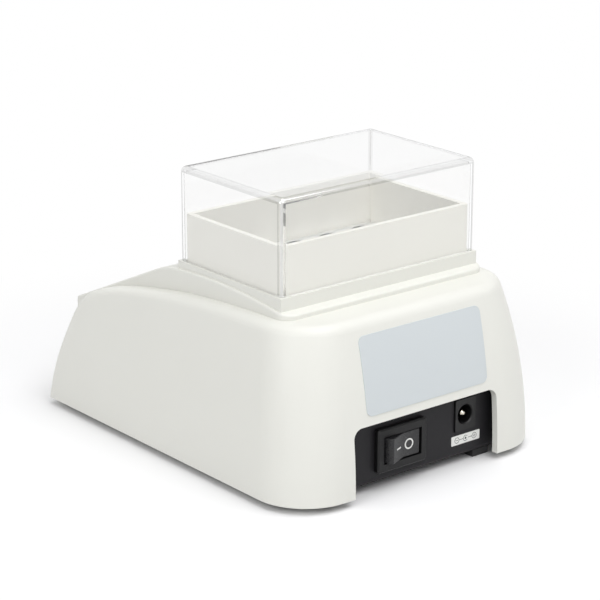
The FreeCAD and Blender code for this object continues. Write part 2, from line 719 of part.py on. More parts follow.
def heat_block():
    """The lift-out aluminium block with flat-bottomed wells for tubes."""
    body = new_body("block")
    plan = sketch(body, "plan", "XY_Plane", BLOCK_BASE)
    rectangle(plan, "0", "lid_offset", BLOCK_X, BLOCK_Y)
    pad(body, "blank", plan, "block_height")
    top = size(BLOCK_BASE + " + block_height")
    bevel_edges(body, "bevel", "block_bevel", lambda edge: level_at(edge, top))
    first_x = "(-%d * well_pitch)" % (WELL_COLUMNS // 2)
    first_y = "(lid_offset - %d * well_pitch)" % (WELL_ROWS // 2)
    mouth = sketch(body, "well_mouth", "XY_Plane", BLOCK_BASE + " + block_height")
    circle(mouth, first_x, first_y, "well_radius")
    well = pocket(body, "well", mouth, "well_depth")
    rows = body.newObject("PartDesign::MultiTransform", "block_wells")
    rows.Originals = [well]
    columns = pattern(body, "columns", "X_Axis", WELL_COLUMNS)
    lines = pattern(body, "lines", "Y_Axis", WELL_ROWS)
    rows.Transformations = [columns, lines]
    body.Tip = rows
    return node(body, "heat_block")


def pattern(body, name, axis, count):
    """A straight row of copies along one of the body's axes at the well pitch."""
    feature = body.newObject("PartDesign::LinearPattern", body.Name + "_" + name)
    feature.Direction = ([item for item in body.Origin.OriginFeatures if item.Role == axis][0], [""])
    feature.Occurrences = count
    return bind(feature, Length="%d * well_pitch" % (count - 1))


def heating_plate():
    """The aluminium plate that the collar and the block stand on, with a hole for the probe."""
    plate = box("plate_blank", ("-" + COLLAR_X, "lid_offset - " + COLLAR_Y, PLATE_BASE),
                (COLLAR_X, "lid_offset + " + COLLAR_Y, BLOCK_BASE))
    hole = cylinder("probe_hole", ("-" + COLLAR_X, "lid_offset", "%s + plate_thick / 2" % PLATE_BASE),
                    "probe_radius + probe_gap", "probe_depth + probe_gap", "x")
    holes = [hole]
    for i, (x, y) in enumerate(pillar_places()):
        holes.append(cylinder("plate_hole_%d" % i, (x, y, PLATE_BASE), SHANK_HOLE, "plate_thick"))
        sink = (x, y, "%s - head_height - screw_gap" % BLOCK_BASE)
        holes.append(cylinder("plate_sink_%d" % i, sink, "head_radius + screw_gap", "plate_thick"))
    return node(cut("heating_plate", plate, holes), "heating_plate")


def pillar_places():
    """The middles of the pillars under the heating plate."""
    x = "(%s - pillar_inset_x)" % COLLAR_X
    y = "(%s - pillar_inset_y)" % COLLAR_Y
    return [(side + x, "lid_offset %s %s" % (turn, y)) for side in ("-", "") for turn in "-+"]


def heater_layers():
    """The film heater under the plate and the insulating pad under that."""
    half_x, half_y = "(film_length / 2)", "(film_width / 2)"
    film = box("film_heater", ("-" + half_x, "lid_offset - " + half_y, FILM_BASE),
               (half_x, "lid_offset + " + half_y, PLATE_BASE))
    node(film, "film_heater")
    foam = box("insulation_pad", ("-" + half_x, "lid_offset - " + half_y, FILM_BASE + " - pad_thick"),
               (half_x, "lid_offset + " + half_y, FILM_BASE))
    node(foam, "insulation_pad")


def heat_sensors():
    """The temperature probe in the edge of the plate and the thermal cut-out below it."""
    start = "-%s - probe_length + probe_depth" % COLLAR_X
    probe = cylinder("temperature_probe", (start, "lid_offset", "%s + plate_thick / 2" % PLATE_BASE),
                     "probe_radius", "probe_length", "x")
    node(probe, "temperature_probe")
    beside = "film_length / 2 + cutout_gap + cutout_radius"
    disc = cylinder("cutout_disc", (beside, "lid_offset", "%s - cutout_height" % PLATE_BASE),
                    "cutout_radius", "cutout_height")
    node(disc, "thermal_cutout")


def screw(name, x, y, seat, up, reach):
    """A pan-head machine screw whose head sits on a level and whose shank goes up or down from it."""
    head_base = "%s - head_height" % seat if up else seat
    shank_base = seat if up else "%s - %s" % (seat, reach)
    head = cylinder(name + "_head", (x, y, head_base), "head_radius", "head_height")
    shank = cylinder(name + "_shank", (x, y, shank_base), "screw_radius", reach)
    return fuse(name, [head, shank])


def pillars_and_screws():
    """Hexagonal pillars from the tray to the heating plate, with their screws."""
    pillars, upper, lower = [], [], []
    height = "(%s - %s)" % (PLATE_BASE, TRAY_TOP)
    for i, (x, y) in enumerate(pillar_places()):
        rod = doc.addObject("Part::Prism", "pillar_rod_%d" % i)
        rod.Polygon = 6
        bind(rod, Circumradius="pillar_across / sqrt(3)", Height=height)
        place(rod, x, y, TRAY_TOP)
        bore = cylinder("pillar_bore_%d" % i, (x, y, TRAY_TOP), SHANK_HOLE, height)
        pillars.append(cut("pillar_%d" % i, rod, [bore]))
        plate_seat = "(%s - head_height)" % BLOCK_BASE
        depth = "(plate_thick - head_height + screw_reach)"
        upper.append(screw("plate_screw_%d" % i, x, y, plate_seat, False, depth))
        lower.append(screw("pillar_screw_%d" % i, x, y, "foot_height", True, "(tray_thick + screw_reach)"))
    node(group("plate_pillars", pillars), "plate_pillars")
    node(group("plate_screws", upper), "plate_screws")
    node(group("pillar_screws", lower), "pillar_screws")


# Underside: bent tray, feet and the screws that hold the housing on it.
def base_tray():
    """The black bent-sheet tray: a floor and an upturned rear wall with two holes."""
    body = new_body("tray")
    taper = "(%s - tray_taper)" % REAR
    wall_half = "(tray_wall_width / 2)"
    front = "(%s + tray_front)" % FRONT
    plan = sketch(body, "plan", "XY_Plane", "foot_height")
    fold = "(%s - tray_bend)" % PANEL
    polygon(plan, [("-" + TRAY_SIDE, front), (TRAY_SIDE, front), (TRAY_SIDE, taper), (wall_half, fold),
                   ("-" + wall_half, fold), ("-" + TRAY_SIDE, taper)])
    pad(body, "floor", plan, "tray_thick")
    bend = sketch(body, "wall_section", "YZ_Plane", "-" + wall_half)
    inner = "(%s - tray_thick)" % PANEL
    turn = "(foot_height + tray_bend)"
    wall_top = "(foot_height + tray_wall_height)"
    polygon(bend, [(fold, "foot_height", "tray_bend", 1), (PANEL, turn), (PANEL, wall_top),
                   (inner, wall_top), (inner, turn, "tray_bend - tray_thick", -1), (fold, TRAY_TOP)])
    pad(body, "wall", bend, "2 * " + wall_half)
    holes = sketch(body, "wall_holes", "XZ_Plane", "-" + PANEL)
    switch_half = ("(switch_length / 2 + switch_gap)", "(switch_height / 2 + switch_gap)")
    rectangle(holes, "switch_x", SWITCH_Z, *switch_half)
    rectangle(holes, "-jack_x", JACK_Z, "(jack_width / 2 + jack_gap)", "(jack_height / 2 + jack_gap)")
    pocket(body, "wall_cut", holes, "tray_thick", reverse=True)
    drills = sketch(body, "floor_holes", "XY_Plane", TRAY_TOP)
    for x, y in boss_places() + pillar_places():
        circle(drills, x, y, SHANK_HOLE)
    pocket(body, "floor_cut", drills, "tray_thick")
    return node(body, "base_tray")


def foot_places():
    """The middles of the feet."""
    places = []
    for side in ("-", ""):
        places.append((side + "(%s - foot_front_side)" % TRAY_SIDE, "%s + foot_front_inset" % FRONT))
        places.append((side + "(tray_wall_width / 2 - foot_rear_side)", "%s - foot_rear_inset" % REAR))
    return places


def rubber_feet():
    """Four square rubber pads bonded under the tray, bevelled at the floor."""
    pads = []
    for i, (x, y) in enumerate(foot_places()):
        body = new_body("foot_%d" % i)
        plan = sketch(body, "plan", "XY_Plane")
        rectangle(plan, x, y, "(foot_side / 2)", "(foot_side / 2)")
        pad(body, "pad", plan, "foot_height")
        bevel_edges(body, "bevel", "foot_bevel", lambda edge: level_at(edge, 0))
        pads.append(body)
    node(group("rubber_feet", pads), "rubber_feet")


def tray_screws():
    """Screws from below through the tray into the bosses of the housing."""
    screws = []
    for i, (x, y) in enumerate(boss_places()):
        screws.append(screw("tray_screw_%d" % i, x, y, "foot_height", True, "(tray_thick + screw_reach)"))
    node(group("tray_screws", screws), "tray_screws")


# Rear panel: rocker switch and low-voltage power inlet.
def switch_body():
    """The switch housing: a bezel outside the panel, a snap-in body behind it, a window for the rocker."""
    body = new_body("switch")
    face = sketch(body, "bezel_plan", "XZ_Plane", "-" + BEZEL)
    rectangle(face, "switch_x", SWITCH_Z, "(bezel_length / 2)", "(bezel_height / 2)")
    pad(body, "bezel", face, "bezel_proud")
    round_edges(body, "bezel_corners", "bezel_round", lambda edge: edge.BoundBox.YLength > 1)
    front = size(BEZEL)
    bevel_edges(body, "bezel_edge", "bezel_round / 2", lambda edge: edge.BoundBox.YMin > front - 1e-4)
    rear = sketch(body, "body_plan", "XZ_Plane", "-" + PANEL)
    rectangle(rear, "switch_x", SWITCH_Z, "(switch_length / 2)", "(switch_height / 2)")
    pad(body, "snap_in", rear, "switch_depth")
    window = sketch(body, "window_plan", "XZ_Plane", "-" + BEZEL)
    rectangle(window, "switch_x", SWITCH_Z, "(window_length / 2)", "(window_height / 2)")
    pocket(body, "window", window, "window_depth", reverse=True)
    pivot_low = SWITCH_Z + " - window_height / 2 - axle_length - axle_gap"
    pivot = sketch(body, "pivot_plan", "XY_Plane", pivot_low)
    circle(pivot, "switch_x", "%s - rocker_pivot" % BEZEL, "axle_radius + axle_gap")
    pocket(body, "pivot", pivot, "window_height + 2 * (axle_length + axle_gap)", reverse=True)
    return node(body, "switch_body")


def switch_rocker():
    """The rocker: two halves that rise to their ends, round ends about the pivot, two axle stubs."""
    body = new_body("rocker")
    half = "(window_height / 2 - rocker_gap)"
    plan = sketch(body, "plan", "XY_Plane", "-" + half)
    reach = size("window_length / 2 - rocker_gap")
    dip = size("rocker_pivot - rocker_sink")
    rise = math.radians(size("rocker_pitch"))
    low = dip * math.cos(rise)
    slope = math.tan(rise)
    x = (-low * slope + math.sqrt((1 + slope ** 2) * reach ** 2 - low ** 2)) / (1 + slope ** 2)
    left, right = Vector(-x, low + slope * x, 0), Vector(x, low + slope * x, 0)
    heel_y = -reach * math.sin(2 * rise)
    heel_x = reach * math.cos(2 * rise)
    plan.addGeometry(Part.LineSegment(left, Vector(0, low, 0)))
    plan.addGeometry(Part.LineSegment(Vector(0, low, 0), right))
    plan.addGeometry(Part.Arc(right, Vector(reach, 0, 0), Vector(heel_x, heel_y, 0)))
    plan.addGeometry(Part.LineSegment(Vector(heel_x, heel_y, 0), Vector(-heel_x, heel_y, 0)))
    plan.addGeometry(Part.Arc(Vector(-heel_x, heel_y, 0), Vector(-reach, 0, 0), left))
    for edge in range(5):
        plan.addConstraint(Sketcher.Constraint("Block", edge))
    pad(body, "rocker", plan, "2 * " + half)
    stubs = sketch(body, "stub_plan", "XY_Plane", "-(window_height / 2 + axle_length)")
    circle(stubs, "0", "0", "axle_radius")
    pad(body, "stubs", stubs, "window_height + 2 * axle_length")
    place(body, "switch_x", "%s - rocker_pivot" % BEZEL, SWITCH_Z, (0, 0, 1), "rocker_pitch")
    return node(body, "switch_rocker")


def switch_terminals():
    """Two blades behind the switch body."""
    blades = []
    back = "(%s - switch_depth)" % PANEL
    for i, side in enumerate("-+"):
        x = "(switch_x %s blade_pitch / 2)" % side
        low = (x + " - blade_thick / 2", back + " - blade_length", SWITCH_Z + " - blade_width / 2")
        high = (x + " + blade_thick / 2", back, SWITCH_Z + " + blade_width / 2")
        blades.append(box("blade_%d" % i, low, high))
    node(group("switch_terminals", blades), "switch_terminals")


def power_inlet():
    """The low-voltage socket: a block with a round mouth, its centre pin and its solder tabs."""
    body = new_body("jack")
    face = sketch(body, "face", "XZ_Plane", "-" + JACK_FACE)
    rectangle(face, "-jack_x", JACK_Z, "(jack_width / 2)", "(jack_height / 2)")
    pad(body, "block", face, "jack_depth")
    round_edges(body, "corners", "jack_round", lambda edge: edge.BoundBox.YLength > 1)
    mouth = sketch(body, "mouth", "XZ_Plane", "-" + JACK_FACE)
    circle(mouth, "-jack_x", JACK_Z, "jack_bore")
    pocket(body, "socket", mouth, "jack_bore_depth", reverse=True)
    face_y = size(JACK_FACE)
    bevel_edges(body, "mouth_edge", "jack_bore_edge", lambda edge: edge.Curve.TypeId == "Part::GeomCircle"
                and abs(edge.Curve.Center.y - face_y) < 1e-4 and edge.Closed)
    node(body, "dc_jack_body")
    floor = "(%s - jack_bore_depth)" % JACK_FACE
    pin = new_body("jack_pin")
    shaft = sketch(pin, "shaft", "XZ_Plane", "-(%s - pin_sink)" % JACK_FACE)
    circle(shaft, "-jack_x", JACK_Z, "pin_radius")
    pad(pin, "shaft_pad", shaft, "%s - pin_sink - %s" % (JACK_FACE, floor))
    tip = size(JACK_FACE + " - pin_sink")
    bevel_edges(pin, "tip", "pin_radius / 2", lambda edge: edge.BoundBox.YMin > tip - 1e-4)
    node(pin, "dc_jack_pin")
    tabs = []
    for i, step in enumerate(("0.3", "0.6", "0.9")):
        y = "(%s - %s * jack_depth)" % (JACK_FACE, step)
        low = ("-jack_x - tab_width / 2", y + " - tab_thick / 2", INLET_TOP + " - tab_drop")
        high = ("-jack_x + tab_width / 2", y + " + tab_thick / 2", INLET_TOP)
        tabs.append(box("tab_%d" % i, low, high))
    node(group("dc_jack_tabs", tabs), "dc_jack_tabs")


def inlet_places():
    """The middles of the two pillars of the inlet board."""
    return [("-jack_x %s inlet_pillar_x" % side, "%s - inlet_pillar_y" % INLET_Y) for side in "-+"]


def inlet_board():
    """The small board that the power inlet is soldered to, on two pillars."""
    body = new_body("inlet_plate")
    plan = sketch(body, "plan", "XY_Plane", INLET_TOP + " - board_thick")
    middle = "(%s - jack_proud - tray_thick - screw_gap - inlet_board_width / 2)" % JACK_FACE
    rectangle(plan, "-jack_x", middle, "(inlet_board_length / 2)", "(inlet_board_width / 2)")
    for x, y in inlet_places():
        circle(plan, x, y, SHANK_HOLE)
    for step in ("0.3", "0.6", "0.9"):
        y = "(%s - %s * jack_depth)" % (JACK_FACE, step)
        rectangle(plan, "-jack_x", y, "(tab_width / 2 + screw_gap)", "(tab_thick / 2 + screw_gap)")
    pad(body, "sheet", plan, "board_thick")
    node(body, "inlet_board")
    pillars, screws = [], []
    height = "(%s - board_thick - %s)" % (INLET_TOP, TRAY_TOP)
    for i, (x, y) in enumerate(inlet_places()):
        rod = cylinder("inlet_rod_%d" % i, (x, y, TRAY_TOP), "inlet_pillar_radius", height)
        bore = cylinder("inlet_bore_%d" % i, (x, y, TRAY_TOP), SHANK_HOLE, height)
        pillars.append(cut("inlet_pillar_%d" % i, rod, [bore]))
        reach = "(board_thick + %s / 2)" % height
        screws.append(screw("inlet_screw_%d" % i, x, y, INLET_TOP, False, reach))
    node(group("inlet_pillars", pillars), "inlet_pillars")
    node(group("inlet_screws", screws), "inlet_screws")


# Control panel: board, display and keys, drawn flat and set on the slope.
def slab(name, x, y, half_x, half_y, low, high):
    """A flat piece on the panel between two levels."""
    body = new_body(name)
    plan = sketch(body, "plan", "XY_Plane", low)
    rectangle(plan, x, y, half_x, half_y)
    pad(body, "slab", plan, "(%s) - (%s)" % (high, low))
    return on_panel(body)


def control_board():
    """The control board on its posts, with screws from below."""
    body = new_body("board")
    plan = sketch(body, "plan", "XY_Plane", BOARD_TOP + " - board_thick")
    rectangle(plan, "0", "board_start + board_width / 2", "(board_length / 2)", "(board_width / 2)")
    for x, y in post_places():
        circle(plan, x, y, SHANK_HOLE)
    pad(body, "sheet", plan, "board_thick")
    node(on_panel(body), "control_board")
    screws = []
    for i, (x, y) in enumerate(post_places()):
        reach = "(board_thick + board_drop / 2)"
        screws.append(screw("board_screw_%d" % i, x, y, "(%s - board_thick)" % BOARD_TOP, True, reach))
    node(on_panel(group("board_screws", screws)), "board_screws")


def display():
    """The display window in its recess and the display module under it."""
    half = ("(display_length / 2)", "(display_width / 2)")
    pane = slab("pane", "0", "display_middle", half[0], half[1], "-display_pane", "0")
    node(pane, "display_window")
    module = slab("digits", "0", "display_middle", "(display_length / 2)", "(display_width / 2)",
                  BOARD_TOP, "-housing_wall - digits_gap")
    node(module, "display_module")


def key(i, label):
    """A key: a rounded cap through the panel, a flange under it and a stem over its push switch."""
    body = new_body(label + "_body")
    under = "(-housing_wall - key_slack)"
    cap = sketch(body, "cap", "XY_Plane", under)
    rectangle(cap, key_x(i), "key_middle", "(key_length / 2)", "(key_width / 2)")
    pad(body, "cap_pad", cap, "key_proud - " + under)
    round_edges(body, "cap_corners", "key_round", upright)
    top = size("key_proud")
    bevel_edges(body, "cap_crown", "key_crown", lambda edge: level_at(edge, top))
    flange = sketch(body, "flange", "XY_Plane", under)
    flange_half = ("(key_length / 2 + key_flange)", "(key_width / 2 + key_flange)")
    rectangle(flange, key_x(i), "key_middle", *flange_half)
    pad(body, "flange_pad", flange, "key_flange", reverse=True)
    stem = sketch(body, "stem", "XY_Plane", "%s - key_flange" % under)
    circle(stem, key_x(i), "key_middle", "key_stem")
    plunger_top = "(%s + tact_height + plunger_height)" % BOARD_TOP
    pad(body, "stem_pad", stem, "%s - key_flange - %s - key_travel" % (under, plunger_top), reverse=True)
    node(on_panel(body), label)


def push_switches():
    """The push switches on the control board, one under each key."""
    switches = []
    for i in range(len(KEYS)):
        body = new_body("tact_%d" % i)
        can = sketch(body, "can", "XY_Plane", BOARD_TOP)
        rectangle(can, key_x(i), "key_middle", "(tact_side / 2)", "(tact_side / 2)")
        pad(body, "can_pad", can, "tact_height")
        plunger = sketch(body, "plunger", "XY_Plane", "%s + tact_height" % BOARD_TOP)
        circle(plunger, key_x(i), "key_middle", "plunger_radius")
        pad(body, "plunger_pad", plunger, "plunger_height")
        switches.append(body)
    node(on_panel(group("push_switches", switches)), "push_switches")


def build():
    """Make every sub-part."""
    fill_sheet()
    upper_housing()
    well_collar()
    clear_lid()
    heat_block()
    heating_plate()
    heater_layers()
    heat_sensors()
    pillars_and_screws()
    base_tray()
    rubber_feet()
    tray_screws()
    switch_body()
    switch_rocker()
    switch_terminals()
    power_inlet()
    inlet_board()
    control_board()
    display()
    for i, label in enumerate(KEYS):
        key(i, label)
    push_switches()
    doc.recompute()


def check_and_write():
    """Stop on any failed object, then write each sub-part."""
    for thing in doc.Objects:
        if {"Invalid", "Error"} & set(thing.State):
            raise RuntimeError("%s failed: %s" % (thing.Name, thing.State))
    for thing in NODES:
        if thing.Shape.isNull() or not thing.Shape.isValid():
            raise RuntimeError("%s has no valid shape" % thing.Label)
    os.makedirs("parts", exist_ok=True)
    for thing in NODES:
        thing.Shape.exportStep("parts/%s.step" % thing.Label)
        print("%s: %d solids, %.0f mm3" % (thing.Label, len(thing.Shape.Solids), thing.Shape.Volume))


build()
check_and_write()
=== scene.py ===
import json
import math

import bmesh
import bpy
from bpy.props import FloatProperty, FloatVectorProperty, IntProperty, PointerProperty
from mathutils import Matrix, Vector


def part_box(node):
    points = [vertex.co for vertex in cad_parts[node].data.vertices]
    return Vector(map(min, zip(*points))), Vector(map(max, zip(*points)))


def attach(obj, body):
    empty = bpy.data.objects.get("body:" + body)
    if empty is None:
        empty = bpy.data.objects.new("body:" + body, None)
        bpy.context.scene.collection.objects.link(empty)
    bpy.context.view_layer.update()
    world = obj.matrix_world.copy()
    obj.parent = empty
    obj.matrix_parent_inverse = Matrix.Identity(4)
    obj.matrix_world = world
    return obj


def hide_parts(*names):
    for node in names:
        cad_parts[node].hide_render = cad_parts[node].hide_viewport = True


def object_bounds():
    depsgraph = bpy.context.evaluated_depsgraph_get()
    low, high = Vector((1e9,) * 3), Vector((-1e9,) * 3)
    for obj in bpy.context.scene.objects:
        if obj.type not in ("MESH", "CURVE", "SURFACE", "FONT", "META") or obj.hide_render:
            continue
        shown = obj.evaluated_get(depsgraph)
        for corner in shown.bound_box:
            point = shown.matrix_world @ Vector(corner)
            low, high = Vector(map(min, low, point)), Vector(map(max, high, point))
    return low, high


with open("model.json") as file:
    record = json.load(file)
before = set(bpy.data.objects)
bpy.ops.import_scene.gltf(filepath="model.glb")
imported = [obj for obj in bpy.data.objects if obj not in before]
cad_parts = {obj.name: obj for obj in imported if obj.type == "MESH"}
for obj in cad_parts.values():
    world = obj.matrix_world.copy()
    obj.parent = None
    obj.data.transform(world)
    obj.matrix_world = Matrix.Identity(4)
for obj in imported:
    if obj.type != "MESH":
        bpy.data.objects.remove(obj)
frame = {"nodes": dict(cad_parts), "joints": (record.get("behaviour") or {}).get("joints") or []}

bl_info = {
    "name": "Dry Block Heater",
    "version": (1, 0, 0),
    "blender": (4, 5, 0),
    "location": "View3D > Sidebar > Block Heater",
    "description": "Dresses a dry block heater with materials, trim and a studio",
    "category": "Object",
}

# Sizes in this file are written in millimetres and turned to metres with MM
MM = 0.001
CAD_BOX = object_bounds()
NODES = frame["nodes"]
ACROSS = Vector((1, 0, 0))
REARWARD = Vector((0, 1, 0))

# How far behind the object a line starts that looks for a surface
BEHIND = 20 * MM
ACRYLIC_IOR = 1.49

# The sockets of a Mix node when it mixes colours
FIRST_COLOUR = 6
SECOND_COLOUR = 7
MIXED_COLOUR = 2


def linear(code):
    """Turn an sRGB hex colour into linear RGBA."""
    channels = [int(code[place:place + 2], 16) / 255 for place in (1, 3, 5)]
    return tuple(c / 12.92 if c <= 0.04045 else ((c + 0.055) / 1.055) ** 2.4 for c in channels) + (1.0,)


def shade(colour, factor):
    """The same colour, lighter or darker."""
    return tuple(min(1.0, channel * factor) for channel in tuple(colour)[:3]) + (1.0,)


# Properties


def colour_property(name, description, code):
    """A colour that a user can change, with its default written as sRGB hex."""
    return FloatVectorProperty(
        name=name, description=description, subtype="COLOR", size=4, min=0.0, max=1.0, default=linear(code)
    )


def length_property(name, description, millimetres):
    """A length that a user can change, with its default written in millimetres."""
    return FloatProperty(
        name=name, description=description, subtype="DISTANCE", unit="LENGTH", default=millimetres * MM
    )


def place_property(name, description, millimetres):
    """A place that a user can change, with its default written in millimetres."""
    return FloatVectorProperty(
        name=name, description=description, subtype="TRANSLATION", unit="LENGTH",
        default=tuple(part * MM for part in millimetres),
    )


def angle_property(name, description, degrees):
    """An angle that a user can change, with its default written in degrees."""
    return FloatProperty(name=name, description=description, subtype="ANGLE", default=math.radians(degrees))


def power_property(name, description, watts):
    """The power of a lamp that a user can change."""
    return FloatProperty(name=name, description=description, unit="POWER", default=watts)


class HeaterColours(bpy.types.PropertyGroup):
    """Colours of the finishes."""

    housing: colour_property("Housing", "White of the moulded housing", "#e4e4de")
    collar: colour_property("Collar", "White of the collar round the well", "#e8e6df")
    acrylic: colour_property("Lid", "Tint of the clear lid", "#ffffff")
    tray: colour_property("Tray", "Black of the coated tray", "#1c1b1e")
    switch: colour_property("Switch", "Black of the switch frame", "#121213")
    rocker: colour_property("Rocker", "Black of the rocker", "#1d1d1f")
    jack: colour_property("Inlet", "Black of the power inlet", "#151516")
    print_white: colour_property("White print", "White of the printed marks", "#e9e9e6")
    print_dark: colour_property("Dark print", "Dark of the printed marks", "#3c4043")
    rear_plate: colour_property("Rear plate", "Pale grey of the bare rear plate", "#cdd3d6")
    keys: colour_property("Keys", "Grey of the keys", "#8d9499")
    aluminium: colour_property("Aluminium", "Bare aluminium", "#f0f1f2")
    segments: colour_property("Display segments", "Unlit segments of the display", "#8a7f7d")


class HeaterTrim(bpy.types.PropertyGroup):
    """Sizes of the trim."""

    lid_wall: length_property("Lid wall", "Thickness of the clear lid", 1.55)
    lid_round: length_property("Lid rounding", "Radius of the lid's outer edges", 2.0)
    lid_steps: IntProperty(name="Lid steps", description="Faces across one rounding", default=8, min=2)
    lid_rim: length_property("Lid rim", "Width of the polished edge of the lid's rim", 0.3)
    plate_side: length_property("Plate side shift", "From the rear's middle to the plate's middle", -0.95)
    plate_half_width: length_property("Plate half width", "Half the width of the rear plate", 26.1)
    plate_low: length_property("Plate low edge", "Height of the rear plate's low edge", 28.5)
    plate_high: length_property("Plate high edge", "Height of the rear plate's high edge", 54.0)
    plate_corner: length_property("Plate corner", "Corner radius of the rear plate", 2.2)
    plate_thick: length_property("Plate thickness", "Thickness of the rear plate", 0.25)
    sticker_width: length_property("Sticker width", "Width of the polarity sticker", 12.7)
    sticker_height: length_property("Sticker height", "Height of the polarity sticker", 3.3)
    sticker_corner: length_property("Sticker corner", "Corner radius of the polarity sticker", 0.3)
    sticker_thick: length_property("Sticker thickness", "Thickness of the polarity sticker", 0.1)
    sticker_drop: length_property("Sticker drop", "From the inlet's axis down to the sticker's middle", 8.8)
    rocker_edge: length_property("Rocker edge", "Radius of the rocker's edges", 0.45)
    print_thick: length_property("Print thickness", "Thickness of the printed marks", 0.04)


class HeaterStage(bpy.types.PropertyGroup):
    """Camera, floor and lamps."""

    azimuth: angle_property("Azimuth", "Direction of the camera round the object", 140.85)
    elevation: angle_property("Elevation", "Height of the camera as an angle", 18.15)
    distance: length_property("Distance", "From the camera to the point that it looks at", 760.2)
    lens: FloatProperty(name="Lens", description="Focal length in millimetres", unit="CAMERA", default=137.16)
    aim: place_property("Aim", "Point that the camera looks at", (12.17, 18.85, 52.37))
    floor: colour_property("Floor", "White of the floor", "#f9f9fa")
    floor_bounce: colour_property("Floor bounce", "Grey of the floor as it lights the object", "#e8e8e8")
    floor_half: length_property("Floor half size", "Half the side of the floor", 4000.0)
    shadow_reach: length_property("Shadow reach", "From the middle to where the shadow starts to fade", 110.0)
    white_reach: length_property("White reach", "From the middle to where the floor is pure white", 205.0)
    top_power: power_property("Top lamp", "Power of the lamp overhead in watts", 6.4)
    top_size: length_property("Top lamp size", "Side of the lamp overhead", 900.0)
    top_place: place_property("Top lamp place", "Where the lamp overhead hangs", (-150, 300, 1100))
    rear_power: power_property("Rear lamp", "Power of the lamp at the rear in watts", 4.2)
    rear_size: length_property("Rear lamp size", "Side of the lamp at the rear", 800.0)
    rear_place: place_property("Rear lamp place", "Where the lamp at the rear stands", (300, 950, 1000))
    side_power: power_property("Side lamp", "Power of the lamp at the side in watts", 3.1)
    side_size: length_property("Side lamp size", "Side of the lamp at the side", 600.0)
    side_place: place_property("Side lamp place", "Where the lamp at the side stands", (1100, 300, 620))
    fill: FloatProperty(
        name="Fill", description="Strength of the light from all round", subtype="FACTOR", min=0.0, max=1.0,
        default=0.48,
    )


# Materials


def join(tree, node, values):
    """Give a node its inputs: numbers and colours are set, and sockets are linked."""
    for name, value in values.items():
        if isinstance(value, bpy.types.NodeSocket):
            tree.links.new(value, node.inputs[name])
        else:
            node.inputs[name].default_value = value


def add(tree, kind, values=None, **settings):
    """Add a node: settings are its own properties, and values are its inputs."""
    made = tree.nodes.new(kind)
    for name, value in settings.items():
        setattr(made, name, value)
    join(tree, made, values or {})
    return made


def noise(tree, place, size, detail):
    """Noise whose spots are about a size in millimetres across."""
    made = add(tree, "ShaderNodeTexNoise", {"Vector": place, "Scale": 1 / (size * MM), "Detail": detail})
    return made.outputs["Fac"]


def cells(tree, place, size, feature="F1"):
    """The distance from the middle of cells that are about a size in millimetres across."""
    made = add(tree, "ShaderNodeTexVoronoi", {"Vector": place, "Scale": 1 / (size * MM)}, feature=feature)
    return made.outputs["Distance"]


def ranged(tree, value, low, high, begin=0.0, end=1.0):
    """A value that goes from low to high while another goes from begin to end."""
    made = add(
        tree, "ShaderNodeMapRange",
        {"Value": value, "From Min": begin, "From Max": end, "To Min": low, "To Max": high},
    )
    return made.outputs["Result"]


def combined(tree, operation, first, second):
    """One value from two."""
    return add(tree, "ShaderNodeMath", {0: first, 1: second}, operation=operation).outputs["Value"]


def blended(tree, factor, first, second):
    """A colour that goes from one to another as the factor rises."""
    made = add(
        tree, "ShaderNodeMix", {"Factor": factor, FIRST_COLOUR: first, SECOND_COLOUR: second},
        data_type="RGBA",
    )
    return made.outputs[MIXED_COLOUR]


def relief(tree, height, strength, depth):
    """A surface with bumps of a depth in millimetres."""
    made = add(tree, "ShaderNodeBump", {"Height": height, "Strength": strength, "Distance": depth * MM})
    return made.outputs["Normal"]


def layered(tree, factor, first, second):
    """A shader that goes from one to another as the factor rises."""
    return add(tree, "ShaderNodeMixShader", {0: factor, 1: first, 2: second}).outputs["Shader"]


def bare_material(name):
    """A new material, with its tree, its shader and the places on the object that patterns follow."""
    made = bpy.data.materials.new(name)
    made.use_nodes = True
    tree = made.node_tree
    place = add(tree, "ShaderNodeTexCoord").outputs["Object"]
    return made, tree, tree.nodes["Principled BSDF"], place


def moulded(name, colour, rough, grain, depth, ior=1.53, drift=0.02, specular=0.5):
    """Moulded plastic: spark-eroded grain that breaks up the gloss, and pigment that drifts a little."""
    made, tree, shader, place = bare_material(name)
    flow = noise(tree, place, size=38, detail=2.0)
    pits = noise(tree, place, size=grain, detail=3.0)
    join(tree, shader, {
        "Base Color": blended(tree, flow, shade(colour, 1 - drift), shade(colour, 1 + drift)),
        "Roughness": ranged(tree, pits, rough - 0.05, rough + 0.05, begin=0.3, end=0.7),
        "Normal": relief(tree, pits, strength=0.35, depth=depth),
        "IOR": ior,
        "Specular IOR Level": specular,
    })
    return made


def worked_metal(name, colour, rough, stretch, lay, depth):
    """Worked metal: fine marks, drawn out by a stretch, with a sheen that changes a little between them."""
    made, tree, shader, place = bare_material(name)
    drawn = add(tree, "ShaderNodeMapping", {"Vector": place, "Scale": stretch})
    marks = noise(tree, drawn.outputs["Vector"], size=lay, detail=4.0)
    join(tree, shader, {
        "Base Color": blended(tree, marks, shade(colour, 0.86), shade(colour, 1.08)),
        "Metallic": 1.0,
        "Roughness": ranged(tree, marks, rough - 0.08, rough + 0.12),
        "Normal": relief(tree, marks, strength=0.3, depth=depth),
    })
    return made


def straight_rays(tree):
    """One for the rays that go straight through a clear wall: shadows, scattered light and long paths."""
    most_bounces = 3.5
    path = add(tree, "ShaderNodeLightPath").outputs
    scattered = combined(tree, "MAXIMUM", path["Is Shadow Ray"], path["Is Diffuse Ray"])
    deep = combined(tree, "GREATER_THAN", path["Ray Depth"], most_bounces)
    return combined(tree, "MAXIMUM", scattered, deep)


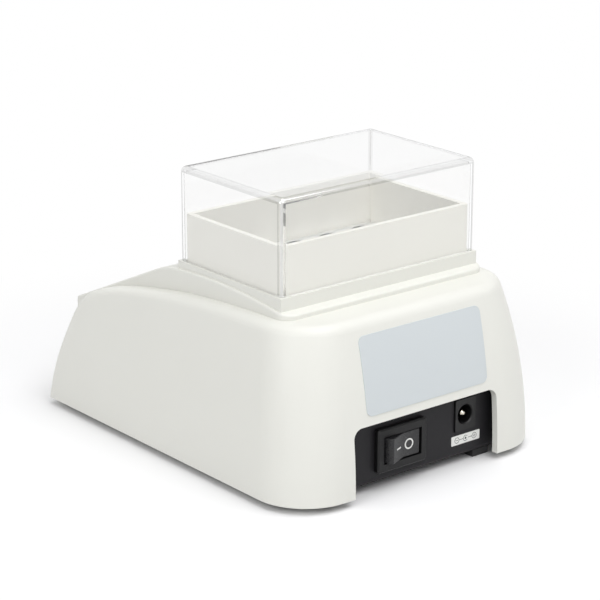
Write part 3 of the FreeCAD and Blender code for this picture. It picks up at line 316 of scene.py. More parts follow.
def trapped_rays(tree):
    """One for the rays inside a wall that its face would throw back."""
    nearly_all = 0.9
    mirror = add(tree, "ShaderNodeFresnel", {"IOR": ACRYLIC_IOR}).outputs["Fac"]
    thrown_back = combined(tree, "GREATER_THAN", mirror, nearly_all)
    inside = add(tree, "ShaderNodeNewGeometry").outputs["Backfacing"]
    return combined(tree, "MULTIPLY", thrown_back, inside)


def edge_bend(tree):
    """How far a face is turned from the nearest of the object's own directions: zero on a flat wall."""
    facing = add(tree, "ShaderNodeTexCoord").outputs["Normal"]
    size = add(tree, "ShaderNodeVectorMath", {0: facing}, operation="ABSOLUTE").outputs["Vector"]
    sides = add(tree, "ShaderNodeSeparateXYZ", {"Vector": size}).outputs
    level = combined(tree, "MAXIMUM", sides["X"], sides["Y"])
    flat = combined(tree, "MAXIMUM", level, sides["Z"])
    return combined(tree, "SUBTRACT", 1.0, flat)


def moulded_acrylic(name, colour):
    """Clear moulded acrylic: polished faces, faint flow waves, and edges that gather light."""
    made, tree, shader, place = bare_material(name)
    waves = noise(tree, place, size=22, detail=1.0)
    wipe = noise(tree, place, size=9, detail=3.0)
    join(tree, shader, {
        "Base Color": tuple(colour),
        "Roughness": ranged(tree, wipe, 0.0, 0.03),
        "IOR": ACRYLIC_IOR,
        "Transmission Weight": 1.0,
        "Sheen Weight": 0.5,
        "Sheen Roughness": 0.4,
        "Normal": relief(tree, waves, strength=0.08, depth=0.3),
    })
    # Its shadow is pale, because most of the light goes through, and light never stays trapped in a wall
    straight = straight_rays(tree)
    released = combined(tree, "MAXIMUM", straight, trapped_rays(tree))
    clear = add(tree, "ShaderNodeBsdfTransparent", {"Color": (0.985, 0.99, 0.99, 1.0)})
    walls = layered(tree, released, shader.outputs["BSDF"], clear.outputs["BSDF"])
    # The rounded edges gather the light of the room: a white streak between two thin grey lines of painted
    # shade
    least_bend = 0.0015
    bend = edge_bend(tree)
    rounded = combined(tree, "GREATER_THAN", bend, least_bend)
    # Painted shade: the clear layer turns grey near the borders of each rounding
    painted_edge_shade = ranged(tree, bend, 0.8, 0.99, begin=0.0, end=0.1)
    streak = ranged(tree, bend, 0.02, 0.5, begin=0.05, end=0.2)
    # Seen edge on, a rounding bends the light so far that its outline is grey: this grey is painted shade in
    # the clear layer's tint
    view = add(tree, "ShaderNodeLayerWeight", {"Blend": 0.5})
    outline = ranged(tree, view.outputs["Facing"], 1.0, 0.55, begin=0.7, end=1.0)
    painted_shade_layer = add(tree, "ShaderNodeBsdfTransparent", {"Color": combined(tree, "MULTIPLY", painted_edge_shade, outline)})
    shine = add(tree, "ShaderNodeBsdfGlossy", {"Roughness": 0.03})
    edge = layered(tree, streak, painted_shade_layer.outputs["BSDF"], shine.outputs["BSDF"])
    bent_rays = combined(tree, "SUBTRACT", 1.0, straight)
    seen_edge = combined(tree, "MULTIPLY", rounded, bent_rays)
    join(tree, tree.nodes["Material Output"], {"Surface": layered(tree, seen_edge, walls, edge)})
    return made


def coated_sheet(name, colour):
    """Powder-coated steel sheet: a fine orange peel under a soft satin gloss."""
    made, tree, shader, place = bare_material(name)
    peel = cells(tree, place, size=0.7, feature="SMOOTH_F1")
    speck = noise(tree, place, size=0.25, detail=2.0)
    join(tree, shader, {
        "Base Color": blended(tree, speck, shade(colour, 0.85), shade(colour, 1.2)),
        "Roughness": ranged(tree, speck, 0.4, 0.56),
        "IOR": 1.5,
        "Specular IOR Level": 0.25,
        "Normal": relief(tree, peel, strength=0.35, depth=0.05),
    })
    return made


def etched_film(name):
    """Polyimide heater film: amber, glossy, with the etched foil's runs showing through it."""
    made, tree, shader, place = bare_material(name)
    foil_pitch = 2.4 * MM
    # At a scale of one, the waves of this texture repeat every 2 pi / 20 metres
    runs = add(
        tree, "ShaderNodeTexWave",
        {"Vector": place, "Scale": 2 * math.pi / (20 * foil_pitch), "Distortion": 0.0},
        bands_direction="Y", wave_profile="SIN",
    )
    foil = ranged(tree, runs.outputs["Fac"], 0.0, 1.0, begin=0.42, end=0.5)
    join(tree, shader, {
        "Base Color": blended(tree, foil, linear("#b06a16"), linear("#7b6a55")),
        "Roughness": 0.22,
        "IOR": 1.7,
    })
    return made


def cellular_foam(name):
    """Silicone foam: dull grey, with open cells about a millimetre across."""
    made, tree, shader, place = bare_material(name)
    pores = cells(tree, place, size=1.1)
    join(tree, shader, {
        "Base Color": blended(tree, pores, linear("#6f7173"), linear("#a3a5a6")),
        "Roughness": 0.9,
        "Normal": relief(tree, pores, strength=0.8, depth=0.3),
    })
    return made


def masked_board(name):
    """Circuit board: green solder mask, with the copper's runs showing as lighter bands under it."""
    made, tree, shader, place = bare_material(name)
    run_pitch = 6 * MM
    runs = add(
        tree, "ShaderNodeTexBrick",
        {"Vector": place, "Color1": linear("#17502c"), "Color2": linear("#1c5a33"),
         "Mortar": linear("#2e7446"), "Scale": 1 / run_pitch, "Mortar Size": 0.06},
    )
    fill = noise(tree, place, size=0.4, detail=1.0)
    join(tree, shader, {
        "Base Color": runs.outputs["Color"],
        "Roughness": ranged(tree, fill, 0.25, 0.4),
        "IOR": 1.55,
    })
    return made


def smoked_acrylic(name):
    """Smoked acrylic window: dark and polished, clear enough to read a lit display through."""
    made, tree, shader, place = bare_material(name)
    wipe = noise(tree, place, size=7, detail=3.0)
    join(tree, shader, {
        "Base Color": linear("#b3a6a2"),
        "Roughness": ranged(tree, wipe, 0.02, 0.1),
        "IOR": ACRYLIC_IOR,
        "Transmission Weight": 1.0,
    })
    # Light reaches the display through the window, dimmed and a little reddened
    path = add(tree, "ShaderNodeLightPath")
    clear = add(tree, "ShaderNodeBsdfTransparent", {"Color": (0.7, 0.64, 0.62, 1.0)})
    through = layered(tree, path.outputs["Is Shadow Ray"], shader.outputs["BSDF"], clear.outputs["BSDF"])
    join(tree, tree.nodes["Material Output"], {"Surface": through})
    return made


def printed_ink(name, colour):
    """Pad-printed ink: a thin, slightly uneven film with a soft gloss."""
    made, tree, shader, place = bare_material(name)
    film = noise(tree, place, size=0.5, detail=2.0)
    join(tree, shader, {
        "Base Color": blended(tree, film, shade(colour, 0.94), shade(colour, 1.03)),
        "Roughness": 0.45,
        "IOR": 1.5,
    })
    return made


def make_materials(colours):
    """The material of each of the record's slots, and of the prints."""
    even = (1.0, 1.0, 1.0)
    drawn_across = (0.06, 1.0, 1.0)
    drawn_along_axis = (1.0, 1.0, 0.1)
    return {
        # ABS from a finely spark-eroded mould: satin, with soft highlights along the crests
        "housing_white": moulded("moulded_abs_satin", colours.housing, 0.42, 0.45, 0.02),
        # Heat-resistant polyester, moulded: duller and a little warmer than the housing
        "collar_white": moulded("moulded_polyester_matt", colours.collar, 0.5, 0.6, 0.02),
        # Acrylic from a polished mould: clear walls that show what they cover
        "clear_acrylic": moulded_acrylic("moulded_clear_acrylic", colours.acrylic),
        # Bare aluminium as the cutter left it: fine parallel marks
        "bare_aluminium": worked_metal("milled_aluminium", colours.aluminium, 0.32, drawn_across, 0.35, 0.01),
        # Foil etched between two films: amber, with greyer runs
        "film_amber": etched_film("etched_polyimide_film"),
        # Foam cast as a slab: dull, with cut cells
        "foam_grey": cellular_foam("cast_silicone_foam"),
        # Zinc plate is bright with a bluish cast
        "zinc_steel": worked_metal("zinc_plated_steel", linear("#c3c8cd"), 0.28, even, 0.8, 0.01),
        # Stainless steel drawn into a cup: a plain, slightly warm grey
        "cutout_steel": worked_metal("drawn_stainless_steel", linear("#b9b9b6"), 0.3, even, 1.2, 0.01),
        # Turned brass: yellow, with marks along its axis
        "brass_turned": worked_metal("turned_brass", linear("#c9a557"), 0.25, drawn_along_axis, 0.3, 0.01),
        # Powder coat on steel: black, with a fine orange peel
        "tray_black": coated_sheet("powder_coated_steel", colours.tray),
        # Moulded rubber: dull, with a bloom that greys it unevenly
        "foot_rubber": moulded("moulded_rubber", linear("#242425"), 0.78, 0.5, 0.05, 1.52, 0.15),
        # Glass-filled nylon: dark, with a fine matt grain
        "switch_black": moulded("moulded_nylon", colours.switch, 0.45, 0.35, 0.03, 1.53, 0.08, 0.3),
        # Polycarbonate: smoother than the frame round it
        "rocker_black": moulded("moulded_polycarbonate", colours.rocker, 0.3, 0.4, 0.015, 1.58, 0.06, 0.35),
        # PBT: dark, between the frame and the rocker in gloss
        "jack_black": moulded("moulded_pbt", colours.jack, 0.38, 0.4, 0.02, 1.55, 0.08, 0.3),
        # Nickel plate on turned brass: a warm bright grey
        "plated_pin": worked_metal("nickel_plated_brass", linear("#d8d2c4"), 0.16, even, 0.5, 0.004),
        # Glass-fibre board under solder mask: green and fairly glossy
        "board_green": masked_board("masked_circuit_board"),
        # Acrylic cast with a smoke dye: dark, with polished faces
        "window_smoke": smoked_acrylic("cast_smoked_acrylic"),
        # Epoxy poured round the display's parts: nearly black and dull, so the segments stand out
        "display_black": moulded("potted_epoxy", linear("#121214"), 0.7, 0.5, 0.001, 1.5, 0.1, 0.15),
        # Silicone-coated ABS: soft to touch, hardly any gloss
        "key_grey": moulded("coated_abs_keys", colours.keys, 0.55, 0.4, 0.02),
        # Ink from a printing pad: flat marks with a soft gloss
        "white ink": printed_ink("pad_printed_white", colours.print_white),
        "dark ink": printed_ink("pad_printed_dark", colours.print_dark),
        # Polyester label film: smooth, pale, with a weak sheen
        "rear plate": moulded("laminated_polyester_film", colours.rear_plate, 0.34, 0.7, 0.006, 1.57, 0.015),
        # Coated paper: white and nearly matt
        "sticker": moulded("coated_paper", colours.print_white, 0.5, 0.4, 0.01, 1.5, 0.02),
        # Segments that are off: a faint grey behind the smoked window
        "segments": printed_ink("unlit_display_segments", colours.segments),
    }


MATERIALS = {}


# Shapes


def rear_landing(node, x, z):
    """The point and the outward direction where a line from behind the object meets a CAD node."""
    start = Vector((x, CAD_BOX[1].y + BEHIND, z))
    struck, point, outward, _ = NODES[node].ray_cast(start, -REARWARD)
    if not struck:
        raise RuntimeError(f"no face of {node} is met from behind at {x}, {z}")
    return point, outward


def standing(point, outward, across):
    """A frame on a surface: its Z points outward and its X follows the direction across."""
    rise = outward.normalized()
    side = (across - rise * across.dot(rise)).normalized()
    turn = Matrix((side, rise.cross(side), rise)).transposed()
    return Matrix.Translation(point) @ turn.to_4x4()


def place_piece(name, mesh_data, material, body, angle=35.0):
    """Turn a bmesh into a piece that rides on a body, shaded smooth up to an angle."""
    mesh = bpy.data.meshes.new(name)
    mesh_data.to_mesh(mesh)
    mesh_data.free()
    mesh.shade_smooth()
    mesh.set_sharp_from_angle(angle=math.radians(angle))
    mesh.materials.append(material)
    piece = bpy.data.objects.new(name, mesh)
    bpy.context.scene.collection.objects.link(piece)
    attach(piece, body)
    return piece


def level_faces(piece, keep_sharp):
    """Shade the large faces of a rounded piece flat up to where its roundings start."""
    flat = piece.modifiers.new("flat faces", "WEIGHTED_NORMAL")
    flat.mode = "FACE_AREA"
    flat.weight = 100
    flat.keep_sharp = keep_sharp


def draw_out(sheet, move):
    """Turn a sheet into a closed solid: a second sheet along a move, and walls along the open edges."""
    faces = list(sheet.faces)
    open_edges = [edge for edge in sheet.edges if edge.is_boundary]
    twins = {corner: sheet.verts.new(corner.co + move) for corner in list(sheet.verts)}
    for face in faces:
        sheet.faces.new([twins[corner] for corner in face.verts])
    for edge in open_edges:
        first, second = edge.verts
        sheet.faces.new([first, second, twins[second], twins[first]])
    bmesh.ops.recalc_face_normals(sheet, faces=sheet.faces)


def raised_print(patches, thick, place):
    """A thin print: each patch is a closed outline in the plane of place, and stands up by the thickness."""
    made = bmesh.new()
    for patch in patches:
        made.faces.new([made.verts.new((x, y, 0)) for x, y in patch])
    bmesh.ops.remove_doubles(made, verts=made.verts, dist=0.001 * MM)
    draw_out(made, Vector((0, 0, thick)))
    made.transform(place)
    return made


def ring_patches(x, y, outer, stroke, steps=40, begin=0.0, sweep=360.0):
    """A ring or an arc of a given stroke, as a row of small patches."""
    patches = []
    for step in range(steps):
        first = math.radians(begin + sweep * step / steps)
        second = math.radians(begin + sweep * (step + 1) / steps)
        corners = [(outer, first), (outer, second), (outer - stroke, second), (outer - stroke, first)]
        patches.append([(x + r * math.cos(a), y + r * math.sin(a)) for r, a in corners])
    return patches


def bar_patch(x, y, width, height):
    """A bar about a middle point."""
    return [
        (x - width / 2, y - height / 2), (x + width / 2, y - height / 2),
        (x + width / 2, y + height / 2), (x - width / 2, y + height / 2),
    ]


def rounded_patch(width, height, corner, steps=6):
    """A rectangle with rounded corners about the origin."""
    outline = []
    for quarter, (side, end) in enumerate([(1, 1), (-1, 1), (-1, -1), (1, -1)]):
        for step in range(steps + 1):
            angle = math.radians(90 * (quarter + step / steps))
            outline.append((
                side * (width / 2 - corner) + corner * math.cos(angle),
                end * (height / 2 - corner) + corner * math.sin(angle),
            ))
    return outline


# Pieces


class HEATER_OT_finishes(bpy.types.Operator):
    """Give every CAD piece the material of its slot"""

    bl_idname = "heater.finishes"
    bl_label = "Finishes"

    def execute(self, context):
        MATERIALS.update(make_materials(context.scene.heater_colours))
        for solid in NODES.values():
            slot = solid.material_slots[0]
            slot.material = MATERIALS[slot.material.name.split(".")[0]]
        return {"FINISHED"}


class HEATER_OT_clear_lid(bpy.types.Operator):
    """Make the clear lid with finely rounded edges"""

    bl_idname = "heater.clear_lid"
    bl_label = "Clear lid"

    def execute(self, context):
        trim = context.scene.heater_trim
        low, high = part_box("clear_lid")
        shell = bmesh.new()
        bmesh.ops.create_cube(shell, size=1.0)
        bmesh.ops.scale(shell, vec=high - low, verts=shell.verts)
        bmesh.ops.translate(shell, vec=(low + high) / 2, verts=shell.verts)
        shell.normal_update()
        open_side = [face for face in shell.faces if face.normal.z < -0.5]
        bmesh.ops.delete(shell, geom=open_side, context="FACES")
        corners = [edge for edge in shell.edges if not edge.is_boundary]
        bmesh.ops.bevel(
            shell, geom=corners, offset=trim.lid_round, offset_type="OFFSET", segments=trim.lid_steps,
            profile=0.5, affect="EDGES",
        )
        lid = place_piece("lid_shell", shell, MATERIALS["clear_acrylic"], "lid", angle=40.0)
        wall = lid.modifiers.new("wall", "SOLIDIFY")
        wall.thickness = trim.lid_wall
        wall.offset = -1.0
        wall.use_even_offset = True
        rim = lid.modifiers.new("polished rim", "BEVEL")
        rim.width = trim.lid_rim
        rim.segments = 2
        rim.angle_limit = math.radians(60)
        level_faces(lid, keep_sharp=True)
        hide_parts("clear_lid")
        return {"FINISHED"}


def cross_head_screw(mesh, corners):
    """One pan-head screw with a cross recess, head down, from the corners of its plain solid."""
    low = min(corner.z for corner in corners)
    high = max(corner.z for corner in corners)
    x = (min(corner.x for corner in corners) + max(corner.x for corner in corners)) / 2
    y = (min(corner.y for corner in corners) + max(corner.y for corner in corners)) / 2
    reach = [(math.hypot(corner.x - x, corner.y - y), corner.z) for corner in corners]
    radius = max(far for far, level in reach)
    shoulder = max(level for far, level in reach if far > 0.95 * radius)
    shank = max(far for far, level in reach if level > high - 0.01 * MM)
    tall = shoulder - low
    # A flat face, a rolled edge and an upright side, then the shank
    profile = [
        (0.84 * radius, low), (0.95 * radius, low + 0.12 * tall), (radius, low + 0.4 * tall),
        (radius, shoulder), (shank, shoulder), (shank, high),
    ]
    steps = 32
    angles = [2 * math.pi * step / steps for step in range(steps)]
    rings = [
        [mesh.verts.new((x + far * math.cos(angle), y + far * math.sin(angle), level)) for angle in angles]
        for far, level in profile
    ]
    for below, above in zip(rings, rings[1:]):
        for step in range(steps):
            after = (step + 1) % steps
            mesh.faces.new([below[step], below[after], above[after], above[step]])
    mesh.faces.new(rings[-1])
    # The recess: its arms narrow towards its floor
    arm = 0.6 * radius
    half = 0.16 * radius
    narrow = 0.7
    depth = 0.65 * tall
    cross = [
        (half, arm), (-half, arm), (-half, half), (-arm, half), (-arm, -half), (-half, -half),
        (-half, -arm), (half, -arm), (half, -half), (arm, -half), (arm, half), (half, half),
    ]
    mouth = [mesh.verts.new((x + a, y + b, low)) for a, b in cross]
    floor = [mesh.verts.new((x + narrow * a, y + narrow * b, low + depth)) for a, b in cross]
    rim = []
    for index in range(len(cross)):
        after = (index + 1) % len(cross)
        wall = mesh.faces.new([mouth[index], mouth[after], floor[after], floor[index]])
        rim.append(wall.edges[0])
    mesh.faces.new(floor)
    outer = [mesh.edges.get([rings[0][step], rings[0][(step + 1) % steps]]) for step in range(steps)]
    bmesh.ops.triangle_fill(mesh, edges=outer + rim, use_beauty=True)


class HEATER_OT_tray_screws(bpy.types.Operator):
    """Give the screws below the tray their cross recess"""

    bl_idname = "heater.tray_screws"
    bl_label = "Tray screws"

    def execute(self, context):
        for node in ("tray_screws", "pillar_screws"):
            low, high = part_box(node)
            middle = (low + high) / 2
            corners = [vertex.co for vertex in NODES[node].data.vertices]
            screws = bmesh.new()
            for side in (-1, 1):
                for end in (-1, 1):
                    near = [
                        corner for corner in corners
                        if (corner.x - middle.x) * side > 0 and (corner.y - middle.y) * end > 0
                    ]
                    cross_head_screw(screws, near)
            bmesh.ops.recalc_face_normals(screws, faces=screws.faces)
            made = place_piece(
                f"{node}_crossed", screws, MATERIALS["zinc_steel"], "base", angle=30.0
            )
            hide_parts(node)
        return {"FINISHED"}


class HEATER_OT_rear_plate(bpy.types.Operator):
    """Lay the bare plate on the bowed rear wall"""

    bl_idname = "heater.rear_plate"
    bl_label = "Rear plate"

    def execute(self, context):
        trim = context.scene.heater_trim
        corner = trim.plate_corner
        corner_steps = 8
        turns = [math.radians(90 * step / corner_steps) for step in range(corner_steps + 1)]
        arcs = [corner * (1 - math.cos(turn)) for turn in turns]
        rows_between = 10
        span = trim.plate_high - trim.plate_low - 2 * corner
        levels = [trim.plate_low + drop for drop in arcs]
        levels += [
            trim.plate_low + corner + span * step / rows_between for step in range(1, rows_between)
        ]
        levels += [trim.plate_high - drop for drop in reversed(arcs)]
        sheet = bmesh.new()
        rows = []
        for level in levels:
            depth = max(0.0, corner - min(level - trim.plate_low, trim.plate_high - level))
            reach = trim.plate_half_width - corner + math.sqrt(max(0.0, corner ** 2 - depth ** 2))
            row = []
            for side in (trim.plate_side - reach, trim.plate_side + reach):
                point, outward = rear_landing("upper_housing", side, level)
                row.append(sheet.verts.new(point + outward * trim.plate_thick))
            rows.append(row)
        for lower, upper in zip(rows, rows[1:]):
            sheet.faces.new([lower[0], lower[1], upper[1], upper[0]])
        draw_out(sheet, -REARWARD * trim.plate_thick)
        place_piece("rear_plate", sheet, MATERIALS["rear plate"], "base")
        return {"FINISHED"}


class HEATER_OT_polarity_sign(bpy.types.Operator):
    """Put the polarity sticker with its generic sign below the inlet"""

    bl_idname = "heater.polarity_sign"
    bl_label = "Polarity sign"

    def execute(self, context):
        trim = context.scene.heater_trim
        low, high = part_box("dc_jack_body")
        middle = (low + high) / 2
        aside = 0.7 * MM
        point, outward = rear_landing("base_tray", middle.x - aside, middle.z - trim.sticker_drop)
        place = standing(point, outward, -ACROSS)
        outline = rounded_patch(trim.sticker_width, trim.sticker_height, trim.sticker_corner)
        paper = raised_print([outline], trim.sticker_thick, place)
        place_piece("polarity_sticker", paper, MATERIALS["sticker"], "base")
        # A ring with a minus, an open ring round a dot, and a ring with a plus, joined by two lines
        stroke = 0.16 * MM
        reach = 1.05 * MM
        pitch = 3.9 * MM
        run = pitch - 2 * reach
        bar = 1.1 * MM
        arm = 0.45 * MM
        arm_shift = 0.33 * MM
        dot = 0.4 * MM
        ink_thick = 0.02 * MM
        signs = []
        for side in (-1, 1):
            signs += ring_patches(side * pitch, 0, reach, stroke)
            signs.append(bar_patch(side * pitch, 0, bar, stroke))
            signs.append(bar_patch(side * (reach + run / 2), 0, run, stroke))
        signs.append(bar_patch(pitch, arm_shift, stroke, arm))
        signs.append(bar_patch(pitch, -arm_shift, stroke, arm))
        signs += ring_patches(0, 0, reach, stroke, begin=40, sweep=280)
        signs.append(rounded_patch(2 * dot, 2 * dot, dot))
        ink = raised_print(signs, ink_thick, place @ Matrix.Translation((0, 0, trim.sticker_thick)))
        place_piece("polarity_print", ink, MATERIALS["dark ink"], "base")
        return {"FINISHED"}


class HEATER_OT_rocker_marks(bpy.types.Operator):
    """Print the on and off marks on the two halves of the rocker"""

    bl_idname = "heater.rocker_marks"
    bl_label = "Rocker marks"

    def execute(self, context):
        trim = context.scene.heater_trim
        low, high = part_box("switch_rocker")
        middle = (low + high) / 2
        stroke = 0.5 * MM
        ring = 1.85 * MM
        ring_side = -2.8 * MM
        bar = 2.6 * MM
        bar_side = 2.6 * MM
        marks = {
            "off": (ring_side, ring_patches(0, 0, ring, stroke)),
            "on": (bar_side, [bar_patch(0, 0, bar, stroke)]),
        }
        for name, (side, patches) in marks.items():
            point, outward = rear_landing("switch_rocker", middle.x + side, middle.z)
            print_on = raised_print(patches, trim.print_thick, standing(point, outward, -ACROSS))
            place_piece(f"rocker_{name}_mark", print_on, MATERIALS["white ink"], "rocker")
        return {"FINISHED"}


class HEATER_OT_rocker(bpy.types.Operator):
    """Make the rocker with the rounded edges of a moulded one"""

    bl_idname = "heater.rocker"
    bl_label = "Rocker"

    def execute(self, context):
        trim = context.scene.heater_trim
        low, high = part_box("switch_rocker")
        middle = (low + high) / 2
        solid = NODES["switch_rocker"].data
        same_corner = 0.005 * MM
        sliver = 0.01 * MM
        shape = bmesh.new()
        corners = [shape.verts.new(vertex.co) for vertex in solid.vertices]
        for polygon in solid.polygons:
            shape.faces.new([corners[index] for index in polygon.vertices])
        bmesh.ops.remove_doubles(shape, verts=shape.verts, dist=same_corner)
        bmesh.ops.dissolve_limit(
            shape, angle_limit=math.radians(1), verts=shape.verts, edges=shape.edges
        )
        # Only the edges in front of the axle stubs, which stay as they are
        front = middle.y + 1 * MM
        least_angle = math.radians(35)
        sharp = [
            edge for edge in shape.edges
            if edge.calc_face_angle() > least_angle and min(vertex.co.y for vertex in edge.verts) > front
        ]
        bmesh.ops.bevel(
            shape, geom=sharp, offset=trim.rocker_edge, offset_type="OFFSET", segments=3,
            profile=0.5, affect="EDGES", clamp_overlap=False,
        )
        bmesh.ops.remove_doubles(shape, verts=shape.verts, dist=sliver)
        bmesh.ops.recalc_face_normals(shape, faces=shape.faces)
        rocker = place_piece(
            "rocker_cap", shape, MATERIALS["rocker_black"], "rocker", angle=40.0
        )
        level_faces(rocker, keep_sharp=False)
        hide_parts("switch_rocker")
        return {"FINISHED"}


def panel_top(node, outward):
    """The middle of a control's outer face, from the corners of its mesh along the panel's own directions."""
    slope = outward.cross(ACROSS)
    corners = [vertex.co for vertex in NODES[node].data.vertices]
    across = [corner.dot(ACROSS) for corner in corners]
    along = [corner.dot(slope) for corner in corners]
    top = max(corner.dot(outward) for corner in corners)
    return (
        ACROSS * (min(across) + max(across)) / 2 + slope * (min(along) + max(along)) / 2 + outward * top
    )


def panel_outward():
    """The direction straight out of the control panel, from the way that its keys move."""
    for joint in frame["joints"]:
        if joint["name"] == "key_set_press":
            return -Vector(joint["axis"]).normalized()
    raise RuntimeError("the frame has no key")


class HEATER_OT_key_marks(bpy.types.Operator):
    """Print a plain sign on each key"""

    bl_idname = "heater.key_marks"
    bl_label = "Key marks"

    def execute(self, context):
        trim = context.scene.heater_trim
        outward = panel_outward()
        stroke = 0.45 * MM
        half = 1.5 * MM
        dot = 0.5 * MM
        marks = {
            "key_set": ring_patches(0, 0, half, stroke) + [rounded_patch(2 * dot, 2 * dot, dot)],
            "key_down": [[(-half, half * 0.7), (0, -half * 0.9), (half, half * 0.7)]],
            "key_up": [[(half, -half * 0.7), (0, half * 0.9), (-half, -half * 0.7)]],
            "key_start": [
                [(-half, -half), (half * 0.3, 0), (-half, half)],
                bar_patch(half * 0.9, 0, stroke * 1.3, 2 * half),
            ],
        }
        for key, patches in marks.items():
            place = standing(panel_top(key, outward), outward, ACROSS)
            print_on = raised_print(patches, trim.print_thick, place)
            place_piece(f"{key}_mark", print_on, MATERIALS["white ink"], key)
        return {"FINISHED"}


class HEATER_OT_display_digits(bpy.types.Operator):
    """Lay the unlit segments of the digits on the display behind its window"""

    bl_idname = "heater.display_digits"
    bl_label = "Display digits"

    def execute(self, context):
        trim = context.scene.heater_trim
        outward = panel_outward()
        place = standing(panel_top("display_module", outward), outward, ACROSS)
        width = 5.6 * MM
        height = 10.0 * MM
        stroke = 1.1 * MM
        gap = 0.15 * MM
        lean = math.tan(math.radians(8))
        digits = 4
        pitch = 9.0 * MM

        def segment(x, y, length, upright):
            """A six-sided segment, leaning a little."""
            end = length / 2 - gap
            half = stroke / 2
            shape = [(-end, 0), (-end + half, half), (end - half, half), (end, 0), (end - half, -half),
                     (-end + half, -half)]
            if upright:
                shape = [(-b, a) for a, b in shape]
            return [(x + a + (y + b) * lean, y + b) for a, b in shape]

        patches = []
        for digit in range(digits):
            x = (digit - (digits - 1) / 2) * pitch
            for level in (-1, 0, 1):
                patches.append(segment(x, level * height / 2, width, False))
            for side in (-1, 1):
                for level in (-1, 1):
                    patches.append(segment(x + side * width / 2, level * height / 4, height / 2, True))
        print_on = raised_print(patches, trim.print_thick, place)
        place_piece("display_segments", print_on, MATERIALS["segments"], "base")
        return {"FINISHED"}


# Stage


def seen_rays(tree):
    """One for the rays that show something to the eye: straight, mirrored or through a clear wall."""
    path = add(tree, "ShaderNodeLightPath").outputs
    direct = combined(tree, "MAXIMUM", path["Is Camera Ray"], path["Is Glossy Ray"])
    return combined(tree, "MAXIMUM", direct, path["Is Transmission Ray"])


def white_paper(settings):
    """Matt paper: white to the eye, and it still takes the object's shadow."""
    paper = bpy.data.materials.new("white_paper_sweep")
    paper.use_nodes = True
    tree = paper.node_tree
    tree.nodes.clear()
    seen = seen_rays(tree)
    place = add(tree, "ShaderNodeTexCoord").outputs["Object"]
    reach = add(tree, "ShaderNodeVectorMath", {0: place}, operation="LENGTH")
    far = add(
        tree, "ShaderNodeMapRange",
        {"Value": reach.outputs["Value"], "From Min": settings.shadow_reach,
         "From Max": settings.white_reach},
        interpolation_type="SMOOTHSTEP",
    )
    lift = combined(tree, "MULTIPLY", seen, far.outputs["Result"])
    tone = blended(tree, seen, tuple(settings.floor_bounce), tuple(settings.floor))
    dull = add(tree, "ShaderNodeBsdfDiffuse", {"Color": tone})
    glow = add(tree, "ShaderNodeEmission", {"Strength": 1.0})
    both = layered(tree, lift, dull.outputs["BSDF"], glow.outputs["Emission"])
    add(tree, "ShaderNodeOutputMaterial", {"Surface": both})
    return paper


def white_tent(settings):
    """A world that looks white, and lights the object from all round with less than that."""
    world = bpy.data.worlds.new("white_tent")
    world.use_nodes = True
    tree = world.node_tree
    tree.nodes.clear()
    strength = ranged(tree, seen_rays(tree), settings.fill, 1.0)
    white = (1.0, 1.0, 1.0, 1.0)
    tent = add(tree, "ShaderNodeBackground", {"Color": white, "Strength": strength})
    add(tree, "ShaderNodeOutputWorld", {"Surface": tent.outputs["Background"]})
    return world


def soft_lamp(name, power, size, place, aim):
    """A square lamp with a large face, turned towards a point."""
    light = bpy.data.lights.new(name, "AREA")
    light.shape = "SQUARE"
    light.size = size
    light.energy = power
    lamp = bpy.data.objects.new(name, light)
    bpy.context.scene.collection.objects.link(lamp)
    lamp.location = place
    lamp.rotation_euler = (aim - place).to_track_quat("-Z", "Y").to_euler()


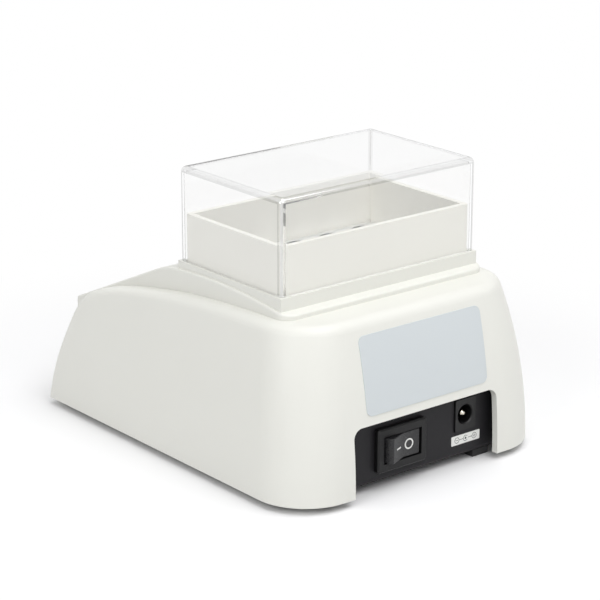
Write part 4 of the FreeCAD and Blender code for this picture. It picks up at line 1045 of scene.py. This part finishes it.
class HEATER_OT_stage(bpy.types.Operator):
    """Set up the floor, the light and the camera"""

    bl_idname = "heater.stage"
    bl_label = "Stage"

    def execute(self, context):
        scene = context.scene
        settings = scene.heater_stage
        scene.view_settings.view_transform = "Standard"
        scene.world = white_tent(settings)

        ground = bmesh.new()
        bmesh.ops.create_grid(ground, x_segments=4, y_segments=4, size=settings.floor_half)
        mesh = bpy.data.meshes.new("floor")
        ground.to_mesh(mesh)
        ground.free()
        mesh.materials.append(white_paper(settings))
        floor = bpy.data.objects.new("floor", mesh)
        scene.collection.objects.link(floor)

        aim = Vector(settings.aim)
        soft_lamp("top_lamp", settings.top_power, settings.top_size, Vector(settings.top_place), aim)
        soft_lamp("side_lamp", settings.side_power, settings.side_size, Vector(settings.side_place), aim)
        soft_lamp("rear_lamp", settings.rear_power, settings.rear_size, Vector(settings.rear_place), aim)

        towards = Vector((
            math.sin(settings.azimuth) * math.cos(settings.elevation),
            -math.cos(settings.azimuth) * math.cos(settings.elevation),
            math.sin(settings.elevation),
        ))
        eye = bpy.data.cameras.new("camera")
        eye.lens = settings.lens
        eye.sensor_width = 36.0
        eye.sensor_fit = "HORIZONTAL"
        eye.clip_start = 10 * MM
        camera = bpy.data.objects.new("camera", eye)
        scene.collection.objects.link(camera)
        camera.location = aim + towards * settings.distance
        camera.rotation_euler = (-towards).to_track_quat("-Z", "Y").to_euler()
        scene.camera = camera
        return {"FINISHED"}


OPERATORS = [
    HEATER_OT_finishes,
    HEATER_OT_clear_lid,
    HEATER_OT_tray_screws,
    HEATER_OT_rear_plate,
    HEATER_OT_polarity_sign,
    HEATER_OT_rocker_marks,
    HEATER_OT_rocker,
    HEATER_OT_key_marks,
    HEATER_OT_display_digits,
    HEATER_OT_stage,
]
GROUPS = {
    "heater_colours": HeaterColours,
    "heater_trim": HeaterTrim,
    "heater_stage": HeaterStage,
}


class HEATER_PT_sidebar(bpy.types.Panel):
    """Lists the pieces of the block heater"""

    bl_idname = "HEATER_PT_sidebar"
    bl_label = "Block heater"
    bl_space_type = "VIEW_3D"
    bl_region_type = "UI"
    bl_category = "Block Heater"

    def draw(self, context):
        for operator in OPERATORS:
            self.layout.operator(operator.bl_idname)
        for name, group in GROUPS.items():
            settings = getattr(context.scene, name)
            section = self.layout.box()
            for field in group.__annotations__:
                section.prop(settings, field)


def register():
    for group in GROUPS.values():
        bpy.utils.register_class(group)
    for name, group in GROUPS.items():
        setattr(bpy.types.Scene, name, PointerProperty(type=group))
    for operator in OPERATORS:
        bpy.utils.register_class(operator)
    bpy.utils.register_class(HEATER_PT_sidebar)


def unregister():
    bpy.utils.unregister_class(HEATER_PT_sidebar)
    for operator in reversed(OPERATORS):
        bpy.utils.unregister_class(operator)
    for name, group in GROUPS.items():
        delattr(bpy.types.Scene, name)
        bpy.utils.unregister_class(group)


def main():
    """Make every piece and the stage."""
    register()
    for operator in OPERATORS:
        group, name = operator.bl_idname.split(".")
        getattr(getattr(bpy.ops, group), name)()


if __name__ == "__main__":
    main()
